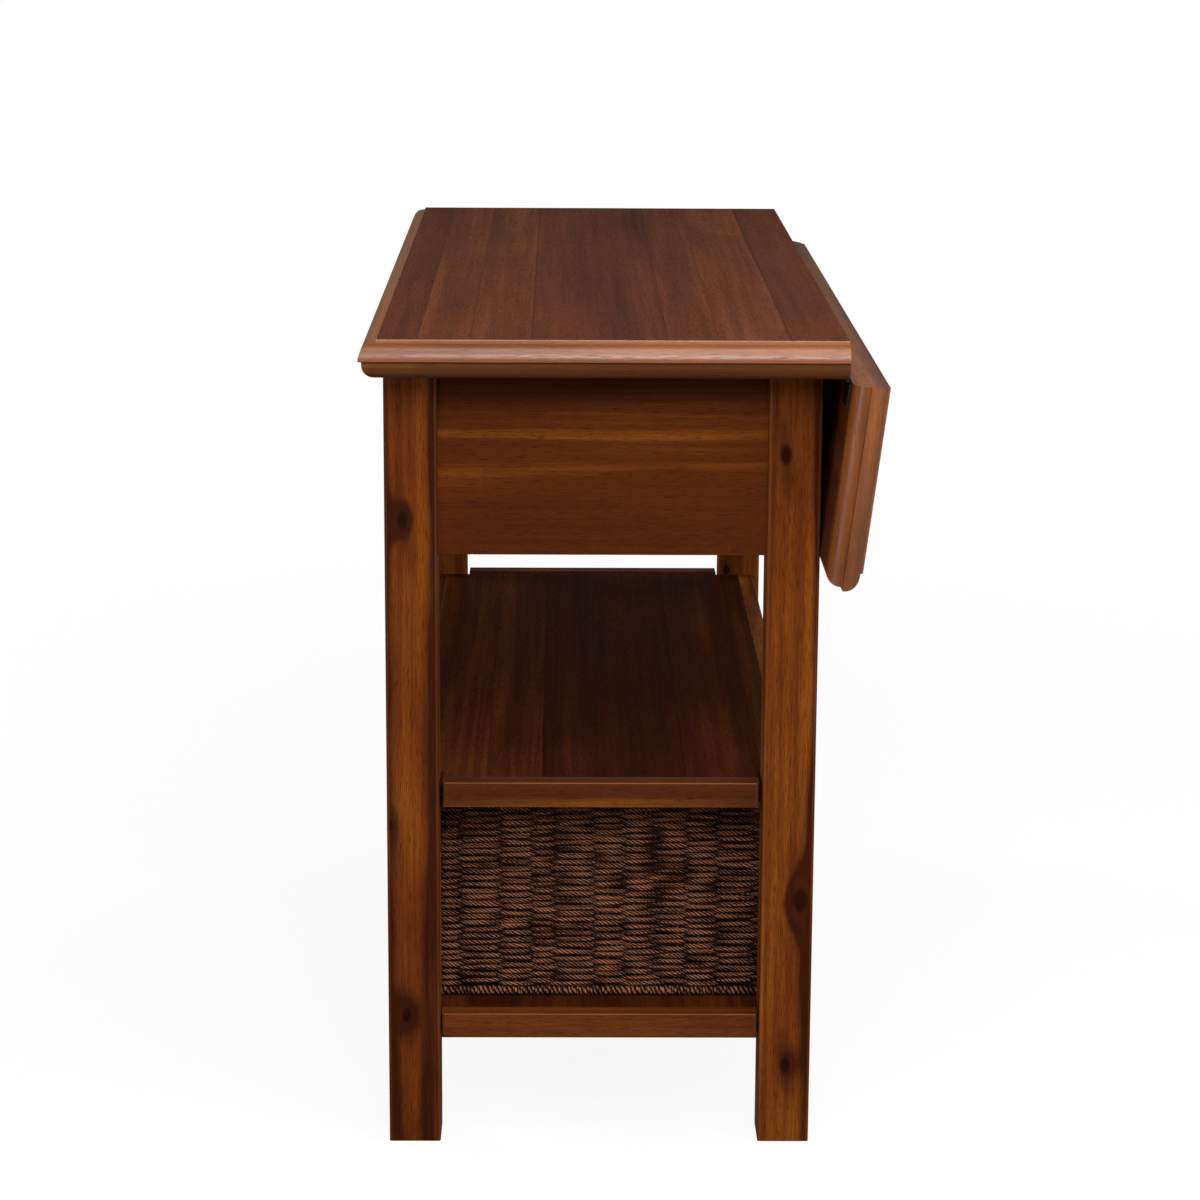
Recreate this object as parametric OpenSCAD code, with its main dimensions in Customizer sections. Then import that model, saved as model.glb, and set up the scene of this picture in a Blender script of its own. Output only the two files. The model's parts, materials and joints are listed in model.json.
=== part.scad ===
// Drop leaf kitchen island: moulded top with a leaf hinged along its back edge,
// four square legs, panelled ends, two drawers, two shelves and two woven baskets.
// Millimetres, +Z up. X runs along the island, the drawers open towards -Y and
// the leaf hangs on the +Y side.

/* [Overall] */
// Height from the floor to the top surface
height = 914; // [880:1:950]
// Length of the leg frame, outside to outside
frame_len = 1130; // [1090:1:1160]
// Depth of the leg frame, outside to outside
frame_depth = 468; // [460:1:476]

/* [Top] */
// Overhang of the top past the legs at each end
end_overhang = 90; // [80:1:100]
// Overhang of the fixed top past the legs at the front and the back
side_overhang = 21; // [19:0.5:24]
// Thickness of the top and the leaf
top_th = 40; // [39:0.5:46]
// Radius of the upper quarter round of the moulding
ovolo_r = 17; // [14:0.5:18]
// Height of the plain band above the lower quarter round
bead_rise = 3.5; // [2:0.5:6]
// Square drop between the flat and the upper quarter round
edge_drop = 3; // [1:0.5:4]
// Height of the plain band at the widest line
edge_land = 1.5; // [1:0.5:2]
// Step back from the widest line to the lower quarter round
edge_step = 3.5; // [2:0.5:5]

/* [Drop leaf] */
// Width of the leaf from the joint to its widest line
leaf_width = 217; // [210:1:224]
// Gap between the top and the raised leaf
leaf_gap = 1; // [0.6:0.1:1.6]
// Depth of the hinge pins below the underside
pin_drop = 3.5; // [3.4:0.1:4.2]
// Clearance left where the hanging leaf meets the back legs
leaf_rest_gap = 0.3; // [0.2:0.1:1]

/* [Legs] */
// Side of the square leg
leg = 57; // [52:1:60]
// Rounding of the upright arrises
leg_round = 3; // [1:0.5:5]

/* [Aprons] */
// Height of the end and back aprons
apron_h = 205; // [200:1:212]
// Thickness of the aprons
apron_th = 20; // [18:0.5:22]
// Set-back of the end aprons from the leg faces
end_inset = 8; // [4:0.5:12]
// Set-back of the back apron from the leg faces
back_inset = 10; // [8:0.5:12]
// Rounding of the long arrises of boards and rails
board_round = 1.5; // [1:0.25:2]

/* [Drawer zone] */
// Set-back of the front rails and drawer fronts
front_inset = 8; // [5:0.5:12]
// Height of the front rails, runners and kickers
rail_h = 22; // [20:1:24]
// Depth of the front rails, front to back
rail_depth = 45; // [40:1:50]
// Width of the upright between the drawers
stile_w = 45; // [42:1:50]
// Thickness of the drawer guides
guide_w = 7; // [6:0.5:9]
// Height of the drawer guides above the runners
guide_h = 20; // [16:1:24]
// Width of the runner left inside each drawer side
runner_lip = 10; // [8:1:14]

/* [Drawers] */
// Gap round each drawer front
front_gap = 2; // [1.5:0.5:3]
// Thickness of a drawer front
drawer_front_th = 20; // [18:0.5:22]
// Thickness of drawer sides and backs
drawer_wall = 12; // [10:0.5:14]
// Height of drawer sides
drawer_side_h = 125; // [110:1:140]
// Thickness of the drawer bottom
drawer_bottom_th = 5; // [4:0.5:6]
// Depth of the groove that holds the bottom
groove = 6; // [5:0.5:7]
// Height of the groove above the lower edge of the sides
groove_up = 11; // [8:1:14]
// Running gap of drawers and baskets
run_gap = 0.3; // [0.2:0.1:0.5]
// Side clearance between a drawer and its guides
side_gap = 0.5; // [0.4:0.1:0.8]
// Diameter of the knob
knob_d = 25; // [22:1:28]
// Projection of the knob
knob_len = 23; // [20:1:26]
// Diameter of the knob screw
knob_screw_d = 4; // [3.5:0.5:5]

/* [Shelves] */
// Height of the upper face of the middle shelf
mid_top = 413; // [400:1:430]
// Height of the upper face of the bottom shelf
low_top = 146; // [140:1:160]
// Thickness of the shelves
shelf_th = 28; // [24:1:32]
// Set-back of the shelf ends from the leg faces
shelf_end_inset = 12; // [8:1:16]
// Set-back of the long shelf edges from the leg faces
shelf_side_inset = 10; // [8:1:14]
// Width of the shelf end rails
end_rail_w = 24; // [20:1:28]
// Width of the long shelf rails
long_rail_w = 20; // [18:1:24]
// Gap between the middle shelf's end rails and the legs
mid_gap = 3.5; // [2:0.5:5]
// Gap between the bottom shelf's end rails and the legs
low_gap = 1.2; // [0.5:0.1:2]
// Rounding of the free corners of the shelf end rails
shelf_corner_r = 4; // [3:0.5:8]

/* [Shelf brackets] */
// Length of each leg of a bracket
bracket_len = 28; // [24:1:32]
// Width of a bracket
bracket_w = 16; // [14:1:18]
// Thickness of the bracket steel
bracket_th = 2; // [1.5:0.5:2.5]

/* [Baskets] */
// Gap between the baskets and the inner faces of the legs
basket_end_gap = 12; // [10:1:20]
// Gap between the two baskets
basket_mid_gap = 12; // [8:1:20]
// Set-back of the baskets from the long shelf edges
basket_side_gap = 8; // [4:1:14]
// Space over the baskets, up to the middle shelf
basket_top_gap = 7; // [6:1:14]
// Thickness of the woven walls
basket_wall = 10; // [8:1:12]
// Thickness of the woven floor
basket_floor = 8; // [6:1:10]
// Outer corner radius of a basket
basket_r = 26; // [20:1:32]
// Thickness of the twisted rim
rim_d = 13; // [12:1:15]
// Length of the hand hole in the front of a basket
hand_w = 110; // [90:5:130]
// Height of the hand hole
hand_h = 32; // [28:1:36]
// Distance of the hand hole's centre below the rim
hand_down = 55; // [45:1:70]

/* [Hinges] */
// Gap between the outer hinges and the legs, along the island
hinge_leg_gap = 5; // [3:0.5:10]
// Length of a hinge
hinge_len = 50; // [44:2:56]
// Width of a hinge leaf
hinge_plate_w = 29; // [26:1:30]
// Thickness of a hinge leaf
hinge_plate_th = 1.8; // [1.5:0.1:2]
// Outer radius of the hinge knuckles
knuckle_r = 3; // [2.8:0.1:3]
// Diameter of the hinge pins
hinge_pin_d = 3; // [2.6:0.2:3.2]
// Diameter of the wood screws
screw_d = 3.5; // [3:0.25:4]
// Length of the wood screws
screw_len = 14; // [10:1:15]

/* [Folding braces] */
// Distance of each brace from the middle of the island
brace_x = 330; // [280:5:380]
// Depth of the apron pivot below the hinge pins
brace_down = 100; // [90:1:110]
// Distance of the leaf pivot from the widest line of the leaf
brace_in = 67.5; // [60:0.5:75]
// Width of the brace bars
bar_w = 12; // [10:0.5:12]
// Thickness of the brace bars
bar_th = 2.5; // [2:0.25:3]
// Gap between neighbouring bars
bar_gap = 0.6; // [0.4:0.1:1]
// Gap between the folded bars and the plates
bar_clear = 0.5; // [0.4:0.1:1]
// Diameter of the brace pivots
pivot_d = 5; // [4:0.5:6]
// Diameter of the rivet heads
rivet_d = 9; // [8:0.5:10]
// Height of the rivet heads
rivet_h = 1.5; // [1:0.25:2]
// Width of the brace plates
brace_plate_w = 20; // [18:1:24]
// Height of the brace plates
brace_plate_h = 30; // [28:1:34]

/* [Top fixing] */
// Diameter of the screws that hold the top down
top_screw_d = 4.5; // [4:0.25:5]
// Length of the screws that hold the top down
top_screw_len = 45; // [40:1:50]
// Distance of these screws from the ends of the kickers
top_screw_in = 40; // [30:1:60]

/* [Dowels] */
// Diameter of the dowels
dowel_d = 10; // [8:1:10]
// Length of the dowels
dowel_len = 40; // [36:2:44]

/* [Hidden] */

$fn = 64;
fit = 0.02;      // room round a screw or dowel in its hole
pivot_fit = 0.05; // radial running clearance of a pivot

// Half sizes of the leg frame and the faces that other pieces meet
fx = frame_len / 2;
fy = frame_depth / 2;
leg_in_x = fx - leg;
leg_in_y = fy - leg;
under = height - top_th;           // underside of the top
top_len = frame_len + 2 * end_overhang;
top_depth = frame_depth + 2 * side_overhang;
apron_bottom = under - apron_h;
back_out = fy - back_inset;        // outer face of the back apron
back_in = back_out - apron_th;
front_face = -(fy - front_inset);  // front of the rails and drawer fronts
rail_back = front_face + rail_depth;
end_out = fx - end_inset;          // outer face of the end aprons

// Moulding levels above the underside, and the lower quarter round that is left
lip = top_th - edge_drop - ovolo_r;
bead_r = lip - edge_land - bead_rise;

// Hinge line, and how far the leaf turns between level and hanging
pin_y = top_depth / 2 + leaf_gap / 2;
pin_z = under - pin_drop;
bead_u = leaf_gap / 2 + leaf_width - edge_step - bead_r;
bead_v = pin_drop + bead_r;
lean = asin((pin_y - fy - leaf_rest_gap - bead_r) / norm([bead_u, bead_v]))
     + atan2(bead_v, bead_u);
hang = 90 + lean;

// The origin is under the middle of everything, the hanging leaf included
leaf_reach = pin_y + (leaf_gap / 2) * cos(hang) + (pin_drop + top_th) * sin(hang);
y0 = -(leaf_reach - top_depth / 2) / 2;

// Drawer zone
open_z0 = apron_bottom + rail_h;
open_z1 = under - rail_h;
drawer_x0 = stile_w / 2 + guide_w + side_gap;
drawer_x1 = leg_in_x - guide_w - side_gap;
drawer_z0 = open_z0 + run_gap;
drawer_y0 = front_face + drawer_front_th;
drawer_y1 = back_in - run_gap;
knob_x = (stile_w / 2 + leg_in_x) / 2;
knob_z = (open_z0 + open_z1) / 2;
knob_edge = knob_d / 5;            // radius of the rim of the knob's head
knob_head = knob_len * 0.62;       // distance of that rim from the drawer front

// Shelves
shelf_x = fx - shelf_end_inset;
shelf_y = fy - shelf_side_inset;

// Baskets
basket_x0 = basket_mid_gap / 2;
basket_x1 = leg_in_x - basket_end_gap;
basket_y = shelf_y - basket_side_gap;
basket_z0 = low_top + run_gap;
basket_z1 = mid_top - shelf_th - basket_top_gap;

// Brace pivots, measured from the hinge pins: a on the apron, b on the leaf
// when it is level, c the same leaf pivot when the leaf hangs
function turned(p, t) = [p[0] * cos(t) + p[1] * sin(t), -p[0] * sin(t) + p[1] * cos(t)];
function bearing(p, q) = atan2(q[1] - p[1], q[0] - p[0]);
pivot_off = bracket_th + bar_w / 2 + bar_clear;   // pivots off the faces they are screwed to
brace_out = leaf_gap / 2 + leaf_width - brace_in;
brace_b = [brace_out, pin_drop - pivot_off];
brace_c = turned(brace_b, hang);
brace_a = [max(back_out - pin_y + pivot_off, brace_c[0]), -brace_down];
short_bar = (norm(brace_b - brace_a) - norm(brace_c - brace_a)) / 2;
long_bar = (norm(brace_b - brace_a) + norm(brace_c - brace_a)) / 2;
short_hang = bearing(brace_c, brace_a);   // both bars point this way when folded
short_turn = bearing(brace_a, brace_b) - short_hang;
long_turn = short_turn + 180 - hang;      // measured in the leaf, which turns with it
bar1_x = 0;
bar2_x = bar_th + bar_gap;
ear_a_x = -bar_gap - bar_th;
ear_b_x = bar2_x + bar_th + bar_gap;
rivet_r = rivet_d / 2;

echo(hang = hang, y0 = y0, pin = [0, pin_y + y0, pin_z]);
echo(short_turn = short_turn, short_ratio = short_turn / hang);
echo(long_turn = long_turn, long_ratio = long_turn / hang);
echo(a = [pin_y + y0 + brace_a[0], pin_z + brace_a[1]], c = [pin_y + y0 + brace_c[0], pin_z + brace_c[1]]);
echo(bars = [short_bar, long_bar]);

outer_hinge = fx + hinge_leg_gap + hinge_len / 2;
hinge_xs = [-outer_hinge, 0, outer_hinge];

// ---------------------------------------------------------------- shared shapes

// Everything is drawn about the middle of the leg frame and then moved so that
// the origin is under the middle of the whole island
module placed() { translate([0, y0, 0]) children(); }

// A square with rounded corners, lower left corner at the origin
module round_square(w, h, r) {
  translate([r, 0]) square([w - 2 * r, h]);
  translate([0, r]) square([w, h - 2 * r]);
  for (x = [r, w - r], y = [r, h - r]) translate([x, y]) circle(r = r);
}

// Boxes between two corners with the four long edges rounded along X, Y or Z
module bar_x(lo, hi, r = board_round)
  translate([lo[0], lo[1], lo[2]]) rotate([90, 0, 90])
    linear_extrude(hi[0] - lo[0]) round_square(hi[1] - lo[1], hi[2] - lo[2], r);
module bar_y(lo, hi, r = board_round)
  translate([lo[0], hi[1], lo[2]]) rotate([90, 0, 0])
    linear_extrude(hi[1] - lo[1]) round_square(hi[0] - lo[0], hi[2] - lo[2], r);
module bar_z(lo, hi, r = board_round)
  translate(lo) linear_extrude(hi[2] - lo[2]) round_square(hi[0] - lo[0], hi[1] - lo[1], r);
module box(lo, hi) translate(lo) cube(hi - lo);

// Cylinders along X and Y from one place to another
module rod_x(x0, x1, y, z, r) translate([x0, y, z]) rotate([0, 90, 0]) cylinder(r = r, h = x1 - x0);
module rod_y(y0, y1, x, z, r) translate([x, y1, z]) rotate([90, 0, 0]) cylinder(r = r, h = y1 - y0);

module in_wood(c) { color([0.36, 0.17, 0.09] * c) children(); }
module in_steel() { color([0.62, 0.6, 0.56]) children(); }
module in_bronze() { color([0.3, 0.22, 0.15]) children(); }

// Half of the moulded section, from the middle at 0 to the widest line at w
module moulded_half(w) {
  square([w - edge_step - bead_r, top_th]);
  translate([0, lip]) square([w - ovolo_r, top_th - lip]);
  translate([0, lip - edge_land]) square([w, edge_land]);
  translate([0, bead_r]) square([w - edge_step, lip - edge_land - bead_r]);
  intersection() {
    translate([w - ovolo_r, lip]) circle(r = ovolo_r);
    translate([w - ovolo_r - 1, lip]) square(ovolo_r + 1);
  }
  intersection() {
    translate([w - edge_step - bead_r, bead_r]) circle(r = bead_r);
    translate([w - edge_step - bead_r - 1, 0]) square([bead_r + 1, bead_r]);
  }
}

// A slab moulded on both ends and on the side at +y, square on the side at 0;
// the mouldings meet in mitres
module moulded_slab(depth) {
  intersection() {
    translate([-top_len / 2, 0, 0]) rotate([90, 0, 90]) linear_extrude(top_len) moulded_half(depth);
    rotate([90, 0, 0]) translate([0, 0, -depth - 1]) linear_extrude(depth + 2) {
      moulded_half(top_len / 2);
      mirror([1, 0]) moulded_half(top_len / 2);
    }
  }
}

// Puts what is drawn for the level leaf, measured from the hinge pins, where it hangs
module hung() translate([0, pin_y, pin_z]) rotate([-hang, 0, 0]) children();

// A countersunk wood screw that points up from a face at z = 0, and its hole;
// the head's cone is as high as the plate that it holds
module wood_screw(plate, d = screw_d, l = screw_len) {
  cylinder(r1 = d * 0.9, r2 = d / 2, h = plate);
  translate([0, 0, plate]) cylinder(r = d / 2, h = l - plate - d / 2);
  translate([0, 0, l - d / 2]) cylinder(r1 = d / 2, r2 = d / 9, h = d / 2);
}
module screw_hole(plate, d = screw_d, l = screw_len) {
  translate([0, 0, -0.01]) cylinder(r1 = d * 0.9 + fit, r2 = d / 2 + fit, h = plate + 0.01);
  translate([0, 0, plate - 0.01]) cylinder(r = d / 2 + fit, h = l - plate + 0.5);
}

// Places of the hinge screws, measured from the hinge pins, on the side of sign s
module at_hinge_screws(s)
  for (x = hinge_xs, d = [-1, 1])
    translate([x + d * hinge_len * 0.32, s * hinge_plate_w * 0.66, pin_drop - hinge_plate_th]) children();

// ---------------------------------------------------------------- top and leaf

module tabletop() placed() in_wood(0.9) difference() {
  translate([0, top_depth / 2, under]) mirror([0, 1, 0]) moulded_slab(top_depth);
  translate([0, pin_y, pin_z]) at_hinge_screws(-1) screw_hole(hinge_plate_th);
  at_top_screws() top_screw_hole();
}

module drop_leaf() placed() in_wood(1.1) hung() difference() {
  translate([0, leaf_gap / 2, pin_drop]) moulded_slab(leaf_width);
  at_hinge_screws(1) screw_hole(hinge_plate_th);
  for (s = [-1, 1]) at_leaf_plate_screws(s) screw_hole(bracket_th);
}

// ---------------------------------------------------------------- legs and aprons

// Dowels between legs and rails: [from, to] along X or Y
end_dowel_x = end_out - apron_th / 2;
back_dowel_y = (back_in + back_out) / 2;
front_dowel_y = (front_face + rail_back) / 2;
dowel_zs = [apron_bottom + apron_h * 0.24, under - apron_h * 0.24];
rail_zs = [apron_bottom + rail_h / 2, under - rail_h / 2];

// Room under the top for the hinge plates, with their gap to whatever carries the top
module hinge_room()
  for (x = hinge_xs)
    box([x - hinge_len / 2 - fit, pin_y - hinge_plate_w - fit, under - hinge_plate_th - fit],
        [x + hinge_len / 2 + fit, pin_y, under + 1]);

module dowel_rods(extra) {
  r = dowel_d / 2 + extra;
  l = dowel_len / 2 + extra;
  for (sx = [-1, 1]) {
    for (sy = [-1, 1], z = dowel_zs)
      rod_y(sy * leg_in_y - l, sy * leg_in_y + l, sx * end_dowel_x, z, r);
    for (z = dowel_zs) rod_x(sx * leg_in_x - l, sx * leg_in_x + l, back_dowel_y, z, r);
    for (z = rail_zs) rod_x(sx * leg_in_x - l, sx * leg_in_x + l, front_dowel_y, z, r);
  }
}

module leg_post(sx, sy) placed() in_wood(1.2) difference() {
  bar_z([sx > 0 ? leg_in_x : -fx, sy > 0 ? leg_in_y : -fy, 0],
        [sx > 0 ? fx : -leg_in_x, sy > 0 ? fy : -leg_in_y, under], leg_round);
  dowel_rods(fit);
  bracket_screw_holes();
}

module end_apron(s) placed() in_wood(1) difference() {
  bar_y([s > 0 ? end_out - apron_th : -end_out, -leg_in_y, apron_bottom],
        [s > 0 ? end_out : apron_th - end_out, leg_in_y, under]);
  dowel_rods(fit);
}

module back_apron() placed() in_wood(1) difference() {
  bar_x([-leg_in_x, back_in, apron_bottom], [leg_in_x, back_out, under]);
  hinge_room();
  dowel_rods(fit);
  for (s = [-1, 1]) at_apron_plate_screws(s) screw_hole(bracket_th);
}

module front_rail(z) placed() in_wood(1.05) difference() {
  bar_x([-leg_in_x, front_face, z], [leg_in_x, rail_back, z + rail_h]);
  dowel_rods(fit);
}

module centre_stile() placed() in_wood(1.05)
  bar_z([-stile_w / 2, front_face, open_z0], [stile_w / 2, rail_back, open_z1]);

module dowels() placed() color([0.8, 0.65, 0.45]) dowel_rods(0);

// ---------------------------------------------------------------- drawer runners

// Strips that run from the front rail to the back apron: one by each end of the
// drawer zone and one in the middle that serves both drawers
module three_strips(z0, z1, edge) {
  for (s = [-1, 1])
    box([s > 0 ? edge : -leg_in_x, rail_back, z0], [s > 0 ? leg_in_x : -edge, back_in, z1]);
  inner = stile_w / 2 + (leg_in_x - edge);
  box([-inner, rail_back, z0], [inner, back_in, z1]);
}
strip_edge = drawer_x1 - drawer_wall - runner_lip;
module drawer_runners() placed() color([0.7, 0.55, 0.38]) three_strips(apron_bottom, open_z0, strip_edge);
module drawer_kickers() placed() color([0.7, 0.55, 0.38]) difference() {
  three_strips(open_z1, under, strip_edge);
  at_top_screws() top_screw_hole();
}
module drawer_guides() placed() color([0.75, 0.6, 0.42]) three_strips(open_z0, open_z0 + guide_h, leg_in_x - guide_w);

// Screws through the kickers that hold the top down
module at_top_screws()
  for (x = [-1, 0, 1] * (strip_edge + leg_in_x) / 2, y = [rail_back + top_screw_in, back_in - top_screw_in])
    translate([x, y, open_z1]) children();
module top_screw_hole() screw_hole(top_screw_d * 0.6, top_screw_d, top_screw_len);
module top_screws() placed() in_steel() at_top_screws() wood_screw(top_screw_d * 0.6, top_screw_d, top_screw_len);

// ---------------------------------------------------------------- drawers (drawn at +X)

drawer_mid = (drawer_x0 + drawer_x1) / 2;
module on_side(s) placed() { if (s > 0) children(); else mirror([1, 0, 0]) children(); }

// The bottom panel, and the space for it when extra > 0
module bottom_panel(extra)
  box([drawer_x0 + drawer_wall - groove, drawer_y0 - groove, drawer_z0 + groove_up] - [1, 1, 1] * extra,
      [drawer_x1 - drawer_wall + groove, drawer_y1 - drawer_wall + groove, drawer_z0 + groove_up + drawer_bottom_th] + [1, 1, 1] * extra);

module drawer_front(s) on_side(s) in_wood(1.1) difference() {
  bar_x([stile_w / 2 + front_gap, front_face, open_z0 + front_gap],
        [leg_in_x - front_gap, drawer_y0, open_z1 - front_gap]);
  bottom_panel(0.1);
  rod_y(front_face - 1, drawer_y0 + 1, knob_x, knob_z, knob_screw_d / 2 + 0.1);
}
module drawer_side(s, outer) on_side(s) color([0.78, 0.62, 0.42]) difference() {
  x0 = outer ? drawer_x1 - drawer_wall : drawer_x0;
  bar_y([x0, drawer_y0, drawer_z0], [x0 + drawer_wall, drawer_y1, drawer_z0 + drawer_side_h]);
  bottom_panel(0.1);
}
module drawer_back(s) on_side(s) color([0.78, 0.62, 0.42]) difference() {
  bar_x([drawer_x0 + drawer_wall, drawer_y1 - drawer_wall, drawer_z0],
        [drawer_x1 - drawer_wall, drawer_y1, drawer_z0 + drawer_side_h]);
  bottom_panel(0.1);
}
module drawer_bottom(s) on_side(s) color([0.82, 0.68, 0.48]) bottom_panel(0);

// Turned knob with a collar, a waist and a domed head; its axis points to -Y
module knob(s) on_side(s) in_bronze()
  translate([knob_x, front_face, knob_z]) rotate([90, 0, 0]) difference() {
    rotate_extrude() {
      square([knob_d * 0.3, knob_d * 0.12]);
      translate([0, knob_d * 0.08]) square([knob_d * 0.2, knob_len - knob_d * 0.24]);
      intersection() {
        translate([knob_d / 2 - knob_edge, knob_head]) circle(r = knob_edge);
        square([knob_d, knob_len]);
      }
      translate([0, knob_head - knob_edge]) square([knob_d / 2 - knob_edge, 2 * knob_edge]);
      intersection() {
        translate([0, knob_len - knob_d]) circle(r = knob_d);
        translate([0, knob_head]) square([knob_d / 2 - knob_edge, knob_len]);
      }
    }
    translate([0, 0, -1]) cylinder(r = knob_screw_d / 2 + fit, h = knob_len * 0.6 + 1);
  }
module knob_screw(s) on_side(s) in_steel() {
  rod_y(front_face - knob_len * 0.55, drawer_y0, knob_x, knob_z, knob_screw_d / 2);
  rod_y(drawer_y0, drawer_y0 + 2.4, knob_x, knob_z, knob_screw_d);
}

// ---------------------------------------------------------------- shelves

// The board of a shelf: full width between the legs, with a tongue at each end
// that passes between them
module shelf_panel(top, gap) placed() in_wood(0.8) {
  box([-leg_in_x, -(shelf_y - long_rail_w), top - shelf_th], [leg_in_x, shelf_y - long_rail_w, top]);
  box([-(shelf_x - end_rail_w), -(leg_in_y - gap), top - shelf_th], [shelf_x - end_rail_w, leg_in_y - gap, top]);
}

// End rail with its two free corners rounded
module shelf_end_rail(s, top, gap) on_side(s) in_wood(1)
  translate([shelf_x - end_rail_w, -(leg_in_y - gap), top - shelf_th]) linear_extrude(shelf_th) {
    l = 2 * (leg_in_y - gap);
    square([end_rail_w - shelf_corner_r, l]);
    translate([0, shelf_corner_r]) square([end_rail_w, l - 2 * shelf_corner_r]);
    for (y = [shelf_corner_r, l - shelf_corner_r]) translate([end_rail_w - shelf_corner_r, y]) circle(r = shelf_corner_r);
  }

module shelf_long_rail(s, top) placed() in_wood(0.95) difference() {
  box([-leg_in_x, s > 0 ? shelf_y - long_rail_w : -shelf_y, top - shelf_th],
      [leg_in_x, s > 0 ? shelf_y : long_rail_w - shelf_y, top]);
  bracket_screw_holes();
}

// Steel angles under the long rails, screwed to the legs and up into the rails
bracket_y = shelf_y - long_rail_w / 2;
module at_brackets()
  for (sx = [0, 1], sy = [-1, 1], top = [mid_top, low_top])
    mirror([sx, 0, 0]) translate([leg_in_x, sy * bracket_y, top - shelf_th]) children();
module shelf_brackets() placed() in_steel() difference() {
  at_brackets() {
    box([-bracket_len, -bracket_w / 2, -bracket_th], [0, bracket_w / 2, 0]);
    box([-bracket_th, -bracket_w / 2, -bracket_len], [0, bracket_w / 2, 0]);
  }
  bracket_screw_holes();
}
module at_bracket_screws() at_brackets() {
  translate([-bracket_len * 0.62, 0, -bracket_th]) children();
  translate([-bracket_th, 0, -bracket_len * 0.62]) rotate([0, 90, 0]) children();
}
module bracket_screw_holes() at_bracket_screws() screw_hole(bracket_th);
module bracket_screws() placed() in_steel() at_bracket_screws() wood_screw(bracket_th);

// ---------------------------------------------------------------- baskets

// Rounded outline of a basket, drawn in by d all round
module basket_outline(d)
  translate([basket_x0 + d, -basket_y + d])
    round_square(basket_x1 - basket_x0 - 2 * d, 2 * (basket_y - d), basket_r - d);

// Open basket with a thick rolled rim and a hand hole in its front
module basket(s) on_side(s) color([0.24, 0.15, 0.11]) difference() {
  inset = (rim_d - basket_wall) / 2;
  union() {
    translate([0, 0, basket_z0]) linear_extrude(basket_z1 - basket_z0 - rim_d) basket_outline(inset);
    translate([0, 0, basket_z1 - rim_d]) linear_extrude(rim_d) basket_outline(0);
  }
  translate([0, 0, basket_z0 + basket_floor]) linear_extrude(basket_z1) basket_outline(inset + basket_wall);
  translate([0, 0, basket_z1 - rim_d]) linear_extrude(rim_d + 1) basket_outline(inset + basket_wall);
  translate([(basket_x0 + basket_x1) / 2, -basket_y + 2 * rim_d, basket_z1 - hand_down]) rotate([90, 0, 0])
    linear_extrude(3 * rim_d) {
      square([hand_w - hand_h, hand_h], center = true);
      for (d = [-1, 1]) translate([d * (hand_w - hand_h) / 2, 0]) circle(d = hand_h);
    }
}

// ---------------------------------------------------------------- hinges

knuckles = 5;
knuckle_gap = 0.2;
knuckle_l = hinge_len / knuckles;

// Half of a butt hinge: a plate on side s, tabs and every second knuckle from n0
module hinge_half(s, n0, bore) {
  plate_in = knuckle_r + 0.8;
  z0 = pin_drop - hinge_plate_th;
  side = s > 0 ? [plate_in, hinge_plate_w] : [-hinge_plate_w, -plate_in];
  tab = s > 0 ? [0, plate_in + 1] : [-plate_in - 1, 0];
  difference() {
    union() {
      box([-hinge_len / 2, side[0], z0], [hinge_len / 2, side[1], pin_drop]);
      for (n = [n0 : 2 : knuckles - 1]) {
        a = -hinge_len / 2 + n * knuckle_l + (n > 0 ? knuckle_gap / 2 : 0);
        b = -hinge_len / 2 + (n + 1) * knuckle_l - (n < knuckles - 1 ? knuckle_gap / 2 : 0);
        box([a, tab[0], z0], [b, tab[1], pin_drop]);
        rod_x(a, b, 0, 0, knuckle_r);
      }
    }
    rod_x(-hinge_len, hinge_len, 0, 0, bore);
  }
}

module hinge_plates_top() placed() in_steel() difference() {
  translate([0, pin_y, pin_z]) for (x = hinge_xs) translate([x, 0, 0]) hinge_half(-1, 0, hinge_pin_d / 2 + 0.01);
  translate([0, pin_y, pin_z]) at_hinge_screws(-1) screw_hole(hinge_plate_th);
}
module hinge_plates_leaf() placed() in_steel() hung() difference() {
  for (x = hinge_xs) translate([x, 0, 0]) hinge_half(1, 1, hinge_pin_d / 2 + pivot_fit);
  at_hinge_screws(1) screw_hole(hinge_plate_th);
}
module hinge_pins() placed() in_steel()
  for (x = hinge_xs) rod_x(x - hinge_len / 2, x + hinge_len / 2, pin_y, pin_z, hinge_pin_d / 2);
module hinge_screws_top() placed() in_steel() translate([0, pin_y, pin_z]) at_hinge_screws(-1) wood_screw(hinge_plate_th);
module hinge_screws_leaf() placed() in_steel() hung() at_hinge_screws(1) wood_screw(hinge_plate_th);

// ---------------------------------------------------------------- folding braces

// Each brace is drawn at +X in its own place and mirrored for the other end.
// Layers along X: apron ear, short bar, long bar, leaf ear
module at_braces() for (m = [0, 1]) mirror([m, 0, 0]) translate([brace_x, 0, 0]) children();

// A flat bar with round ends from the origin along +Y
module flat_bar(l, x)
  translate([x, 0, 0]) rotate([90, 0, 90]) linear_extrude(bar_th) {
    circle(r = bar_w / 2);
    translate([l, 0]) circle(r = bar_w / 2);
    translate([0, -bar_w / 2]) square([l, bar_w]);
  }
module pivot_hole(extra) rod_x(-brace_plate_w, brace_plate_w, 0, 0, pivot_d / 2 + extra);

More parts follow.
